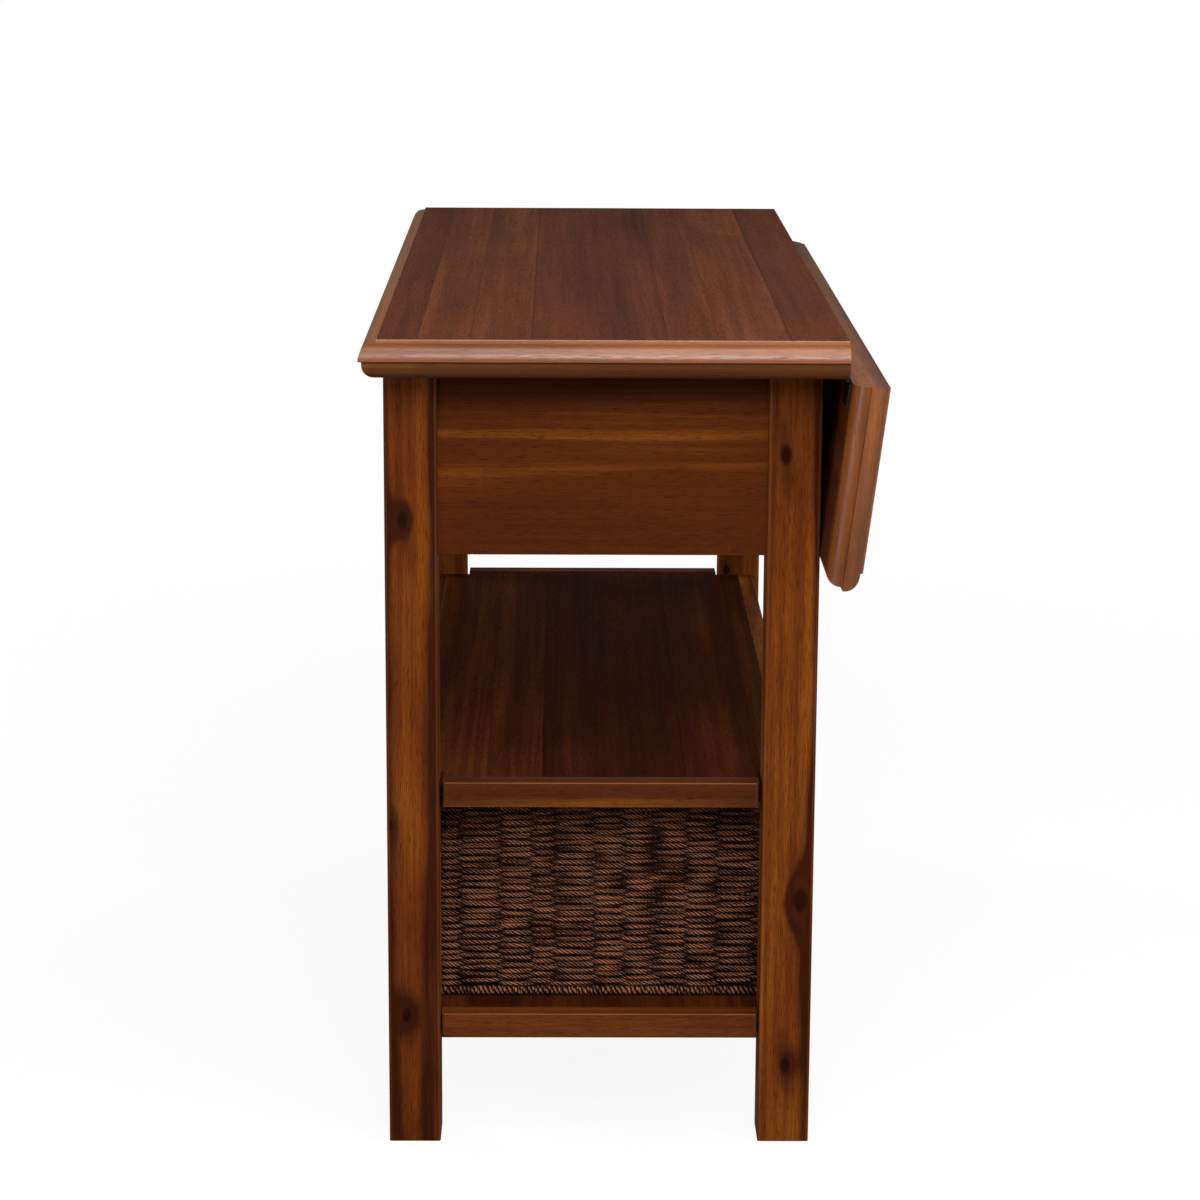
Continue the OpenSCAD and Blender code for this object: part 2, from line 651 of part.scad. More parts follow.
module short_bar_at(s) on_side(s) in_steel()
  translate([brace_x, pin_y + brace_a[0], pin_z + brace_a[1]]) rotate([short_hang, 0, 0]) difference() {
    union() {
      flat_bar(short_bar, bar1_x);
      rod_x(bar1_x - rivet_h, bar1_x + 0.5, short_bar, 0, rivet_r);
    }
    pivot_hole(pivot_fit);
  }
module long_bar_at(s) on_side(s) in_steel()
  translate([brace_x, pin_y + brace_c[0], pin_z + brace_c[1]]) rotate([short_hang, 0, 0]) difference() {
    union() {
      flat_bar(long_bar, bar2_x);
      rod_x(bar2_x + bar_th - 0.5, bar2_x + bar_th + rivet_h, long_bar, 0, rivet_r);
    }
    pivot_hole(pivot_fit);
  }

// The plates stand away from the bars, with two screws each beside the ear
plate_screw_x = (brace_plate_w - bar_th) / 2;
plate_screw_d = brace_plate_h / 2 - 1.7 * screw_d;
module at_apron_plate_screws(s)
  translate([s * (brace_x + ear_a_x - plate_screw_x), back_out + bracket_th, pin_z + brace_a[1]]) rotate([90, 0, 0])
    for (d = [-1, 1]) translate([0, d * plate_screw_d, 0]) children();
module at_leaf_plate_screws(s)
  translate([s * (brace_x + ear_b_x + bar_th + plate_screw_x), brace_out, pin_drop - bracket_th])
    for (d = [-1, 1]) translate([0, d * plate_screw_d, 0]) children();

// An ear in the plane of the bars that stands out of a plate at distance h
module ear(x, h, up) translate([x, 0, 0]) rotate([90, 0, 90]) linear_extrude(bar_th) {
  circle(r = bar_w / 2);
  if (up) translate([-bar_w / 2, 0]) square([bar_w, h]);
  else translate([-h, -bar_w / 2]) square([h, bar_w]);
}
module brace_plates_apron() placed() in_steel() difference() {
  at_braces() translate([0, pin_y + brace_a[0], pin_z + brace_a[1]]) difference() {
    union() {
      h = pin_y + brace_a[0] - back_out;
      box([ear_a_x + bar_th - brace_plate_w, -h, -brace_plate_h / 2], [ear_a_x + bar_th, -h + bracket_th, brace_plate_h / 2]);
      ear(ear_a_x, h, false);
    }
    pivot_hole(0.01);
  }
  for (s = [-1, 1]) at_apron_plate_screws(s) screw_hole(bracket_th);
}
module brace_pins_apron() placed() in_steel() {
  at_braces() translate([0, pin_y + brace_a[0], pin_z + brace_a[1]]) {
    rod_x(ear_a_x - rivet_h, bar1_x + bar_th, 0, 0, pivot_d / 2);
    rod_x(ear_a_x - rivet_h, ear_a_x, 0, 0, rivet_r);
  }
  for (s = [-1, 1]) at_apron_plate_screws(s) wood_screw(bracket_th);
}
module brace_plates_leaf() placed() in_steel() hung() difference() {
  at_braces() translate([0, brace_b[0], brace_b[1]]) difference() {
    union() {
      h = pin_drop - brace_b[1];
      box([ear_b_x, -brace_plate_h / 2, h - bracket_th], [ear_b_x + brace_plate_w, brace_plate_h / 2, h]);
      ear(ear_b_x, h, true);
    }
    pivot_hole(0.01);
  }
  for (s = [-1, 1]) at_leaf_plate_screws(s) screw_hole(bracket_th);
}
module brace_pins_leaf() placed() in_steel() hung() {
  at_braces() translate([0, brace_b[0], brace_b[1]]) {
    rod_x(bar2_x, ear_b_x + bar_th + rivet_h, 0, 0, pivot_d / 2);
    rod_x(ear_b_x + bar_th, ear_b_x + bar_th + rivet_h, 0, 0, rivet_r);
  }
  for (s = [-1, 1]) at_leaf_plate_screws(s) wood_screw(bracket_th);
}

// ---------------------------------------------------------------- drawing

tabletop();
drop_leaf();
leg_post(-1, -1);  // leg_front_left
leg_post(1, -1);  // leg_front_right
leg_post(-1, 1);  // leg_back_left
leg_post(1, 1);  // leg_back_right
end_apron(-1);  // end_apron_left
end_apron(1);  // end_apron_right
back_apron();
front_rail(open_z1);  // front_top_rail
front_rail(apron_bottom);  // front_bottom_rail
centre_stile();
drawer_runners();
drawer_guides();
drawer_kickers();
dowels();
top_screws();
shelf_panel(mid_top, mid_gap);  // mid_shelf_panel
shelf_end_rail(-1, mid_top, mid_gap);  // mid_shelf_rail_left
shelf_end_rail(1, mid_top, mid_gap);  // mid_shelf_rail_right
shelf_long_rail(-1, mid_top);  // mid_shelf_rail_front
shelf_long_rail(1, mid_top);  // mid_shelf_rail_back
shelf_panel(low_top, low_gap);  // low_shelf_panel
shelf_end_rail(-1, low_top, low_gap);  // low_shelf_rail_left
shelf_end_rail(1, low_top, low_gap);  // low_shelf_rail_right
shelf_long_rail(-1, low_top);  // low_shelf_rail_front
shelf_long_rail(1, low_top);  // low_shelf_rail_back
shelf_brackets();
bracket_screws();
hinge_plates_top();
hinge_plates_leaf();
hinge_pins();
hinge_screws_top();
hinge_screws_leaf();
brace_plates_apron();
brace_plates_leaf();
brace_pins_apron();
brace_pins_leaf();
short_bar_at(-1);  // brace_short_bar_left
short_bar_at(1);  // brace_short_bar_right
long_bar_at(-1);  // brace_long_bar_left
long_bar_at(1);  // brace_long_bar_right
drawer_front(-1);  // left_drawer_front
drawer_side(-1, true);  // left_drawer_side_outer
drawer_side(-1, false);  // left_drawer_side_inner
drawer_back(-1);  // left_drawer_back
drawer_bottom(-1);  // left_drawer_bottom
knob(-1);  // left_knob
knob_screw(-1);  // left_knob_screw
drawer_front(1);  // right_drawer_front
drawer_side(1, true);  // right_drawer_side_outer
drawer_side(1, false);  // right_drawer_side_inner
drawer_back(1);  // right_drawer_back
drawer_bottom(1);  // right_drawer_bottom
knob(1);  // right_knob
knob_screw(1);  // right_knob_screw
basket(-1);  // left_basket
basket(1);  // right_basket
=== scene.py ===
"""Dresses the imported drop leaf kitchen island: stained timber, hardware, woven baskets, lamps and camera.

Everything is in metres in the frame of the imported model: X runs along the island,
the drawers open towards -Y and the leaf hangs on the +Y side.
"""
# ruff: noqa: E402

import json
import logging
import math
from contextlib import contextmanager
from dataclasses import dataclass, field, replace
from enum import Enum
from functools import reduce
from typing import Iterator

import bpy
import numpy as np
from mathutils import Matrix, Vector

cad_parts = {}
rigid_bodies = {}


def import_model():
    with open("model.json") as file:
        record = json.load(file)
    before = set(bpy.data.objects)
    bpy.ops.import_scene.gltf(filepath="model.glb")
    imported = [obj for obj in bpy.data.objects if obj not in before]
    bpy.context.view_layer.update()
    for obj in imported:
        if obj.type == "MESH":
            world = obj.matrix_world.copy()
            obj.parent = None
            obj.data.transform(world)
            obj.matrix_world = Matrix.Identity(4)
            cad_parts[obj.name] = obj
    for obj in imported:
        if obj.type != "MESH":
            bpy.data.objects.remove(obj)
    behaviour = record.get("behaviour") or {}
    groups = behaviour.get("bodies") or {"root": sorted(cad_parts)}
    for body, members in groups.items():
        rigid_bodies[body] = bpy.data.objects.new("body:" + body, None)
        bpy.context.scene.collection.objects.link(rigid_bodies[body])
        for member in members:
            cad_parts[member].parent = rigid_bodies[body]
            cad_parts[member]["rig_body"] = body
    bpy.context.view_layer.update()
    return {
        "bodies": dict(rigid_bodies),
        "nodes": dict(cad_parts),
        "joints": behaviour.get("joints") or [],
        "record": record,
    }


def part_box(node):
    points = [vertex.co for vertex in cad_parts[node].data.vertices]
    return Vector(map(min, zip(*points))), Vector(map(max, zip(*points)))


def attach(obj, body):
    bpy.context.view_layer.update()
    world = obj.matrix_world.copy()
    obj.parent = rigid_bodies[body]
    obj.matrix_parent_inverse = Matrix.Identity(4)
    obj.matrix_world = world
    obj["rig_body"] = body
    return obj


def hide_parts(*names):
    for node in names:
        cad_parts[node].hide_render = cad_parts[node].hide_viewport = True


LOG = logging.getLogger("island")
RGB = tuple[float, float, float]
Piece = bpy.types.Object
Rows = np.ndarray
MM = 0.001
SIDES = ("left", "right")


def linear(red: int, green: int, blue: int) -> RGB:
    """Returns the linear colour of an 8-bit display colour."""
    scaled = [c / 255 for c in (red, green, blue)]
    return tuple(c / 12.92 if c <= 0.04045 else ((c + 0.055) / 1.055) ** 2.4 for c in scaled)


# ---- shader maths


class Wire:
    """An output socket that adds Math nodes when it is used in an expression."""

    def __init__(self, nodes: "Nodes", socket: bpy.types.NodeSocket) -> None:
        """Keeps the socket and the tree that it belongs to."""
        self.nodes = nodes
        self.socket = socket

    def calc(self, operation: str, *others: "Wire | float") -> "Wire":
        """Returns the result of a Math node on this value and the others."""
        operands = dict(enumerate((self, *others)))
        return self.nodes.node("ShaderNodeMath", {"operation": operation}, operands)

    def __add__(self, other: "Wire | float") -> "Wire":
        """Returns the sum."""
        return self.calc("ADD", other)

    __radd__ = __add__

    def __sub__(self, other: "Wire | float") -> "Wire":
        """Returns the difference."""
        return self.calc("SUBTRACT", other)

    def __mul__(self, other: "Wire | float") -> "Wire":
        """Returns the product."""
        return self.calc("MULTIPLY", other)

    def most(self, other: "Wire | float") -> "Wire":
        """Returns the larger value."""
        return self.calc("MAXIMUM", other)

    def reach(self, other: "Wire") -> "Wire":
        """Returns the length of the vector of this value and another."""
        return (self * self + other * other).calc("SQRT")

    def bell(self, width: float) -> "Wire":
        """Returns a smooth hump that is 1 where the value is 0 and falls off over a width."""
        share = self * (1 / width)
        return (share * share * -1.0).calc("EXPONENT")

    def step(self, low: float, high: float) -> "Wire":
        """Returns a smooth step from 0 at low to 1 at high; low may be the larger."""
        ends = (low, high, 0.0, 1.0) if low <= high else (high, low, 1.0, 0.0)
        values = {0: self, **dict(enumerate(ends, 1))}
        return self.nodes.node("ShaderNodeMapRange", {"interpolation_type": "SMOOTHSTEP"}, values)


class Nodes:
    """A node tree under construction, with one method that makes any node."""

    def __init__(self, tree: bpy.types.NodeTree, output: str) -> None:
        """Empties the tree and adds its output node."""
        self.tree = tree
        self.tree.nodes.clear()
        self.output = self.tree.nodes.new(output)

    def node(
        self, kind: str, settings: dict | None = None, values: dict | None = None, out: int | str = 0
    ) -> Wire:
        """Adds a node.

        Args:
            kind: The node's type.
            settings: Its properties; a ramp's stops go under "stops".
            values: Numbers, colours or wires for its inputs, by name or index.
            out: The output that is returned, by name or index.

        Returns:
            The chosen output.
        """
        made = self.tree.nodes.new(kind)
        for key, value in (settings or {}).items():
            if key == "stops":
                ramp = made.color_ramp
                while len(ramp.elements) < len(value):
                    ramp.elements.new(0.5)
                for element, (place, colour) in zip(ramp.elements, value):
                    element.position = place
                    element.color = (*colour, 1.0)
            else:
                setattr(made, key, value)
        for key, value in (values or {}).items():
            if isinstance(value, Wire):
                self.tree.links.new(value.socket, made.inputs[key])
            elif isinstance(value, tuple) and len(value) == 3 and made.inputs[key].type == "RGBA":
                made.inputs[key].default_value = (*value, 1.0)
            else:
                made.inputs[key].default_value = value
        return Wire(self, made.outputs[out])

    def close(self, surface: Wire) -> None:
        """Links what the tree shows to its output node."""
        self.tree.links.new(surface.socket, self.output.inputs["Surface"])


class Shader(Nodes):
    """A material under construction."""

    def __init__(self, name: str) -> None:
        """Makes an empty material of that name."""
        self.material = bpy.data.materials.new(name)
        self.material.use_nodes = True
        super().__init__(self.material.node_tree, "ShaderNodeOutputMaterial")

    def split(self, vector: Wire) -> list[Wire]:
        """Returns the X, Y and Z of a vector."""
        return [self.node("ShaderNodeSeparateXYZ", values={0: vector}, out=i) for i in range(3)]

    def object_axes(self) -> list[Wire]:
        """Returns the X, Y and Z of the Object coordinates."""
        return self.split(self.node("ShaderNodeTexCoord", out="Object"))

    def attribute(self, name: str) -> Wire:
        """Returns a mesh attribute's value."""
        return self.node("ShaderNodeAttribute", {"attribute_name": name}, out="Fac")

    def noise(self, *at: Wire | float, scale: float = 1.0, detail: float = 2.0, rough: float = 0.5) -> Wire:
        """Returns a noise value from 0 to 1.

        Args:
            at: The three coordinates that it is read at.
            scale: Its features per unit of them.
            detail: The number of octaves.
            rough: The share of each finer octave.
        """
        place = self.node("ShaderNodeCombineXYZ", values=dict(enumerate(at)))
        values = {"Vector": place, "Scale": scale, "Detail": detail, "Roughness": rough}
        return self.node("ShaderNodeTexNoise", values=values)

    def ramp(self, value: Wire, *stops: tuple[float, RGB]) -> Wire:
        """Returns the colour of a value on a ramp with these stops."""
        return self.node("ShaderNodeValToRGB", {"stops": stops}, {0: value})

    def blend(self, share: Wire, first: Wire | RGB, second: Wire | RGB) -> Wire:
        """Returns the first colour with a share of the second laid over it."""
        return self.node("ShaderNodeMix", {"data_type": "RGBA"}, {0: share, 6: first, 7: second}, out=2)

    def bump(self, height: Wire, strength: float, distance: float) -> Wire:
        """Returns a normal bumped by a height from 0 to 1 that stands for a distance in metres."""
        values = {"Height": height, "Strength": strength, "Distance": distance}
        return self.node("ShaderNodeBump", values=values)

    def finish(self, colour: Wire, rough: Wire, normal: Wire, name: str, level: float) -> bpy.types.Material:
        """Closes the material with a Principled shader and returns it.

        Args:
            colour: Its base colour.
            rough: Its roughness.
            normal: Its bumped normal.
            name: The one other input that is set.
            level: The value of that input.
        """
        values = {"Base Color": colour, "Roughness": rough, "Normal": normal, name: level}
        self.close(self.node("ShaderNodeBsdfPrincipled", values=values))
        return self.material


# ---- finishes


class Grain(Enum):
    """The axis along which the fibres of a board run."""

    X = 0
    Y = 1
    Z = 2


@dataclass(frozen=True)
class Knot:
    """A knot: its place along and across the grain, and its radius."""

    along: float
    across: float
    size: float


@dataclass(frozen=True)
class Stain:
    """A stained and lacquered hardwood.

    Attributes:
        name: The material's name.
        grain: The axis of the fibres.
        dark: Colour of the dark streaks.
        middle: Colour of most of the wood.
        light: Colour of the pale streaks.
        arris: Colour of rubbed edges, which also carries a painted highlight on the edges.
        pith: The stem's middle, on the two axes that the fibres don't run along.
        ring: Growth rings per metre.
        bend: How far the rings wander.
        contrast: How much light and dark streaks differ.
        seed: Sets one board apart from the next.
        sheen: Roughness of the lacquer.
        gloss: Strength of its reflection.
        overhang_shade_band: Where a darker band of painted shadow, standing in for the shade under the top's
            overhang, starts and where it is full, on the second of those axes.
        seams: The first seam and the width of the planks that a wide board is glued from.
        heart: Radius from the pith within which the wood is paler, if it shows.
        taper: How much that radius grows along the grain, from half a metre up.
        knots: The knots.
    """

    name: str
    grain: Grain = Grain.X
    dark: RGB = linear(58, 22, 6)
    middle: RGB = linear(110, 52, 12)
    light: RGB = linear(158, 92, 26)
    arris: RGB = linear(150, 92, 50)
    pith: tuple[float, float] = (0.0, -0.09)
    ring: float = 130.0
    bend: float = 0.03
    contrast: float = 1.0
    seed: float = 0.0
    sheen: float = 0.4
    gloss: float = 0.06
    overhang_shade_band: tuple[float, float] | None = None
    seams: tuple[float, float] | None = None
    heart: float = 0.0
    taper: float = 0.0
    knots: tuple[Knot, ...] = ()

    def _planks(self, s: Shader, along: Wire, across: Wire) -> tuple[Wire, Wire, Wire, Wire]:
        """Finds the planks of a glued board.

        Args:
            s: The material.
            along: The coordinate along the grain.
            across: The coordinate across the planks.

        Returns:
            Each plank's tone, its own place along the grain and distance from its pith, and the seams.
        """
        first, width = self.seams
        place = (across - first) * (1 / width)
        place = place + (place * 2.2 + self.seed).calc("SINE") * 0.34
        index = place.calc("FLOOR")
        inside = place - index
        seam = (inside - 0.5).calc("ABSOLUTE").step(0.5 - 0.0010 / width, 0.5 - 0.0002 / width)
        chance = {"noise_dimensions": "1D"}
        tone = s.node("ShaderNodeTexWhiteNoise", chance, {"W": index + self.seed}, out="Value")
        off_a = (inside - 0.5 + (tone - 0.5) * 1.3) * width
        off_d = tone * 0.03 + 0.03
        return tone, along + tone * 3.1, off_a.reach(off_d), seam

    def _knots(self, along: Wire, depth: Wire) -> tuple[Wire, Wire, Wire]:
        """Returns the knots' cores, the rings' swelling round them and the streaks that they trail."""
        spots, swells, tails = [], [], []
        for knot in self.knots:
            u = along - (knot.along + self.seed)
            v = depth - knot.across
            apart = (u * u * 0.3 + v * v).calc("SQRT")
            spots.append(apart.step(knot.size * 0.9, knot.size * 0.45))
            swells.append(apart.bell(knot.size * 1.7) * knot.size * 0.9)
            tails.append((v + u * 0.12).bell(knot.size * 1.2) * u.bell(knot.size * 6.0))
        return reduce(Wire.most, spots), reduce(Wire.__add__, swells), reduce(Wire.most, tails)

    def material(self) -> bpy.types.Material:
        """Returns the finish as a material."""
        s = Shader(self.name)
        axes = s.object_axes()
        along = axes.pop(self.grain.value) + self.seed
        across, depth = axes
        if self.seams:
            tone, along, radius, seam = self._planks(s, along, across)
        else:
            radius = (across - self.pith[0]).reach(depth - self.pith[1])

        def drawn(long: float, fine: float, detail: float = 2.0, rough: float = 0.5) -> Wire:
            """Returns a noise with its own features per metre along and across the grain."""
            return s.noise(along * long, across * fine, depth * fine, detail=detail, rough=rough)

        sway = drawn(1.1, 3.0) - 0.5
        ripple = drawn(7.0, 20.0) - 0.5
        radius = radius + sway * self.bend + ripple * 0.004
        if self.knots:
            core, swell, trail = self._knots(along, depth)
            radius = radius + swell
        rings = s.noise(radius * self.ring, along * 0.8, 0.0, detail=3, rough=0.6)
        zones = s.noise(radius * self.ring * 0.2, along * 0.5, 4.0, detail=1)
        streak = drawn(1.8, 85.0, 3, 0.6)
        blotch = drawn(4.0, 15.0, 3)
        fibre = drawn(24.0, 700.0)
        pores = drawn(70.0, 1250.0, 1).step(0.56, 0.68)

        gain = self.contrast
        value = (zones.step(0.36, 0.64) - 0.5) * (0.4 * gain) + (rings - 0.5) * (0.9 * gain)
        value = value + (streak - 0.5) * (1.0 * gain) + (blotch - 0.5) * (0.7 * gain) + 0.5
        if self.heart:
            rim = radius - self.heart + (streak - 0.5) * 0.006 - (along - self.seed - 0.5) * self.taper
            value = value + (rim.step(0.002, -0.002) - 0.6) * 0.42 - rim.bell(0.0016) * 0.2
        if self.seams:
            value = value + (tone - 0.5) * (0.5 * gain)

        shade = tuple(c * 0.4 for c in self.dark)
        layers = [((fibre - 0.5).calc("ABSOLUTE") * 1.6, self.dark), (pores * 0.5, shade)]
        layers.append((streak.step(0.6, 0.76) * (0.6 * gain), self.dark))
        if self.knots:
            layers += [(trail * 0.8, self.dark), (core * 0.9, shade)]
        if self.seams:
            layers.append((seam * 0.45, shade))
        # Painted shadow: a darker band for the shade that the top's overhang casts.
        if self.overhang_shade_band:
            layers.append((axes[1].step(*self.overhang_shade_band) * 0.75, shade))
        # Lightens the marked edges: rubbed wear plus a painted highlight, strongest on edges that face up.
        layers.append((s.attribute("arris") * ((blotch - 0.5) * 0.9 + 0.5), self.arris))
        colour = s.ramp(value, (0.1, self.dark), (0.5, self.middle), (0.9, self.light))
        for share, over in layers:
            colour = s.blend(share, colour, over)

        height = fibre * 0.4 + rings * 0.3 - pores * 0.5
        if self.seams:
            height = height - seam * 2.0
        rough = (fibre - 0.5) * 0.12 + (blotch - 0.5) * 0.12 + pores * 0.15 + self.sheen
        return s.finish(colour, rough, s.bump(height, 0.3, 0.0003), "Specular IOR Level", self.gloss)


@dataclass(frozen=True)
class Metal:
    """Plated or patinated metal with faint brushing and dull spots."""

    name: str
    colour: RGB
    dull: RGB
    rough: float
    metallic: float = 1.0

    def material(self) -> bpy.types.Material:
        """Returns the finish as a material."""
        s = Shader(self.name)
        x, y, z = s.object_axes()
        cloud = s.noise(x, y, z, scale=90.0, detail=4, rough=0.6)
        brushed = s.noise(x * 300.0, y * 2600.0, z * 2600.0, detail=1)
        colour = s.blend(cloud.step(0.42, 0.72), self.colour, self.dull)
        # Painted highlight: edges marked for wear and highlight get a brighter metal colour.
        bright = tuple(min(1.0, c * 1.6) for c in self.colour)
        colour = s.blend(s.attribute("arris") * 0.5, colour, bright)
        rough = self.rough + (cloud - 0.5) * 0.25 + (brushed - 0.5) * 0.1
        normal = s.bump(brushed * 0.5 + cloud * 0.5, 0.25, 0.00012)
        return s.finish(colour, rough, normal, "Metallic", self.metallic)


@dataclass(frozen=True)
class Seagrass:
    """Dark stained seagrass, twisted into strands; it follows each strand's own map.

    Attributes:
        name: The material's name.
        deep: Colour of the gaps, where shade is painted.
        body: Colour of most of it.
        tip: Colour of the light fibres and the ply crowns, a painted highlight on the crowns.
        plies: Plies round a strand.
        bite: Length from one ply to the next along a strand.
    """

    name: str
    deep: RGB = linear(8, 2, 1)
    body: RGB = linear(50, 21, 9)
    tip: RGB = linear(160, 102, 68)
    plies: int = 5
    bite: float = 0.0053

    def material(self) -> bpy.types.Material:
        """Returns the finish as a material."""
        s = Shader(self.name)
        u, v, _ = s.split(s.node("ShaderNodeUVMap", {"uv_map": "strand"}))
        turn = v * (2 * math.pi)
        round_a, round_b = turn.calc("SINE"), (turn + math.pi / 2).calc("SINE")
        fibre = s.noise(round_a * 3.2, round_b * 3.2, u * 60.0, detail=3, rough=0.6)
        blade = s.noise(round_a * 1.3, round_b * 1.3, u * 26.0, detail=2)
        patch = s.noise(*s.object_axes(), scale=34.0, detail=3)
        slack = s.noise(u * 40.0, 0.0, 0.0, detail=1) - 0.5
        # Painted shade and highlight: the furrows between plies, the strand's underside and the parts that
        # lie back behind the stakes are darkened, and the ply crowns are lightened.
        ply = ((v * self.plies + u * (1 / self.bite) + slack * 2.4) * math.pi).calc("SINE").calc("ABSOLUTE")
        under = (v - 0.76).bell(0.16)
        value = (fibre - 0.5) * 0.9 + (blade - 0.5) * 1.7 + (patch - 0.5) * 0.9 + (ply - 0.62) * 1.2
        value = value + (s.attribute("relief") - 0.75) * 0.5 - under * 0.6 + 0.37
        colour = s.ramp(value, (0.1, self.deep), (0.48, self.body), (0.98, self.tip))
        normal = s.bump(ply * 0.9 + fibre * 0.3, 1.0, 0.0012)
        return s.finish(colour, (fibre - 0.5) * 0.3 + 0.6, normal, "Specular IOR Level", 0.12)


Finish = Stain | Metal | Seagrass

# ---- shaping helpers


def deselect() -> None:
    """Deselects every object, in object mode."""
    if bpy.context.object and bpy.context.object.mode != "OBJECT":
        bpy.ops.object.mode_set(mode="OBJECT")
    bpy.ops.object.select_all(action="DESELECT")


def activate(piece: Piece) -> None:
    """Makes a piece the only selected one and the active one."""
    deselect()
    piece.select_set(True)
    bpy.context.view_layer.objects.active = piece


def apply_place(piece: Piece) -> None:
    """Moves a piece's place, turn and scale into its mesh."""
    activate(piece)
    bpy.ops.object.transform_apply(location=True, rotation=True, scale=True)


def linked(name: str, data: bpy.types.ID) -> Piece:
    """Returns a new object in the scene with this data."""
    piece = bpy.data.objects.new(name, data)
    bpy.context.scene.collection.objects.link(piece)
    return piece


@contextmanager
def all_selected(piece: Piece) -> Iterator[None]:
    """Opens a piece in edit mode with everything selected, and closes it afterwards."""
    activate(piece)
    bpy.ops.object.mode_set(mode="EDIT")
    bpy.ops.mesh.select_mode(type="FACE")
    bpy.ops.mesh.select_all(action="SELECT")
    yield
    bpy.ops.object.mode_set(mode="OBJECT")


def apply_modifier(piece: Piece, kind: str, **settings: object) -> None:
    """Adds a modifier with its settings and applies it."""
    activate(piece)
    modifier = piece.modifiers.new(kind.lower(), kind)
    for key, value in settings.items():
        setattr(modifier, key, value)
    bpy.ops.object.modifier_apply(modifier=modifier.name)


def soften(piece: Piece, degrees: float = 32.0) -> None:
    """Smooths a piece's shading below an edge angle and keeps its flats flat."""
    activate(piece)
    bpy.ops.object.shade_smooth_by_angle(angle=math.radians(degrees))
    apply_modifier(piece, "WEIGHTED_NORMAL", keep_sharp=True, weight=90)


def mark_arrises(piece: Piece, flat: float = 0.9995) -> None:
    """Marks the faces that aren't square to the frame in "arris", most where they face up: rubbed edges plus
    a painted highlight from above.
    """
    marks = piece.data.attributes.new("arris", "FLOAT", "FACE")
    normals = [face.normal for face in piece.data.polygons]
    # Up-facing edge faces get the full painted highlight, the rest a weaker share.
    values = [0.0 if max(abs(c) for c in n) > flat else 1.0 if n.z > 0.1 else 0.3 for n in normals]
    marks.data.foreach_set("value", values)


def grow(piece: Piece, outline: list[tuple[float, float, float]]) -> None:
    """Extrudes a flat piece upwards, level by level.

    Args:
        piece: The piece, one face whose outline is scaled about the origin.
        outline: The height and the two half widths of each level, from the piece's own level up.
    """
    with all_selected(piece):
        for (low, wide, deep), (high, to_wide, to_deep) in zip(outline, outline[1:]):
            bpy.ops.mesh.extrude_region_move(TRANSFORM_OT_translate={"value": (0, 0, high - low)})
            factors = (to_wide / wide, to_deep / deep, 1)
            bpy.ops.transform.resize(value=factors, center_override=Vector((0, 0, 0)))
        bpy.ops.mesh.select_all(action="SELECT")
        bpy.ops.mesh.normals_make_consistent(inside=False)


class Shop:
    """What all sub-assemblies share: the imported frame, the record's slots and the finishes."""

    def __init__(self, frame: dict) -> None:
        """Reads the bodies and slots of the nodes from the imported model."""
        self.nodes = frame["nodes"]
        self.joints = {j["name"]: j for j in frame["joints"]}
        self.slots = {r["node"]: r["material_slot"] for r in frame["record"]["subparts"]}
        self.finishes: dict[str, bpy.types.Material] = {}

    def finish(self, kind: Finish) -> bpy.types.Material:
        """Returns a finish's material, made at its first use."""
        if kind.name not in self.finishes:
            self.finishes[kind.name] = kind.material()
        return self.finishes[kind.name]

    def dress(self, piece: Piece, kind: Finish) -> None:
        """Gives a piece one finish all over."""
        piece.data.materials.clear()
        piece.data.materials.append(self.finish(kind))

    def keep(self, node: str, kind: Stain) -> None:
        """Dresses a node that shows as it was packed."""
        self.dress(self.nodes[node], kind)

    def stand_for(self, piece: Piece, node: str, name: str, kind: Finish) -> None:
        """Dresses a piece and lets it take a node's place: its body and its sight.

        Args:
            piece: The finished piece.
            node: The node that it stands for.
            name: The piece's new name.
            kind: Its finish.
        """
        piece.name = name
        self.dress(piece, kind)
        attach(piece, self.nodes[node]["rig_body"])
        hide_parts(node)
        LOG.info("%s: %d faces, for %s", name, len(piece.data.polygons), node)


# ---- timber


WALNUT = Stain("stain_plain")
TOP = replace(
    WALNUT,
    name="stain_top",
    dark=linear(58, 25, 12),
    middle=linear(98, 49, 25),
    light=linear(136, 78, 38),
    seams=(-0.42, 0.088),
    contrast=0.45,
    sheen=0.5,
)
MOULDING = replace(
    WALNUT, middle=linear(128, 68, 24), light=linear(164, 100, 40), contrast=0.7, sheen=0.3, gloss=0.5
)
# A darkened copy of the top's stain for the shelf panels: painted shade under the top and aprons.
SHADED_SHELF = replace(
    TOP,
    dark=linear(38, 14, 5),
    middle=linear(66, 28, 11),
    light=linear(98, 50, 18),
    seams=(-0.3718, 0.1035),
    contrast=0.58,
    gloss=0.015,
)
LEG = replace(WALNUT, name="stain_leg", grain=Grain.Z, middle=linear(116, 56, 15))
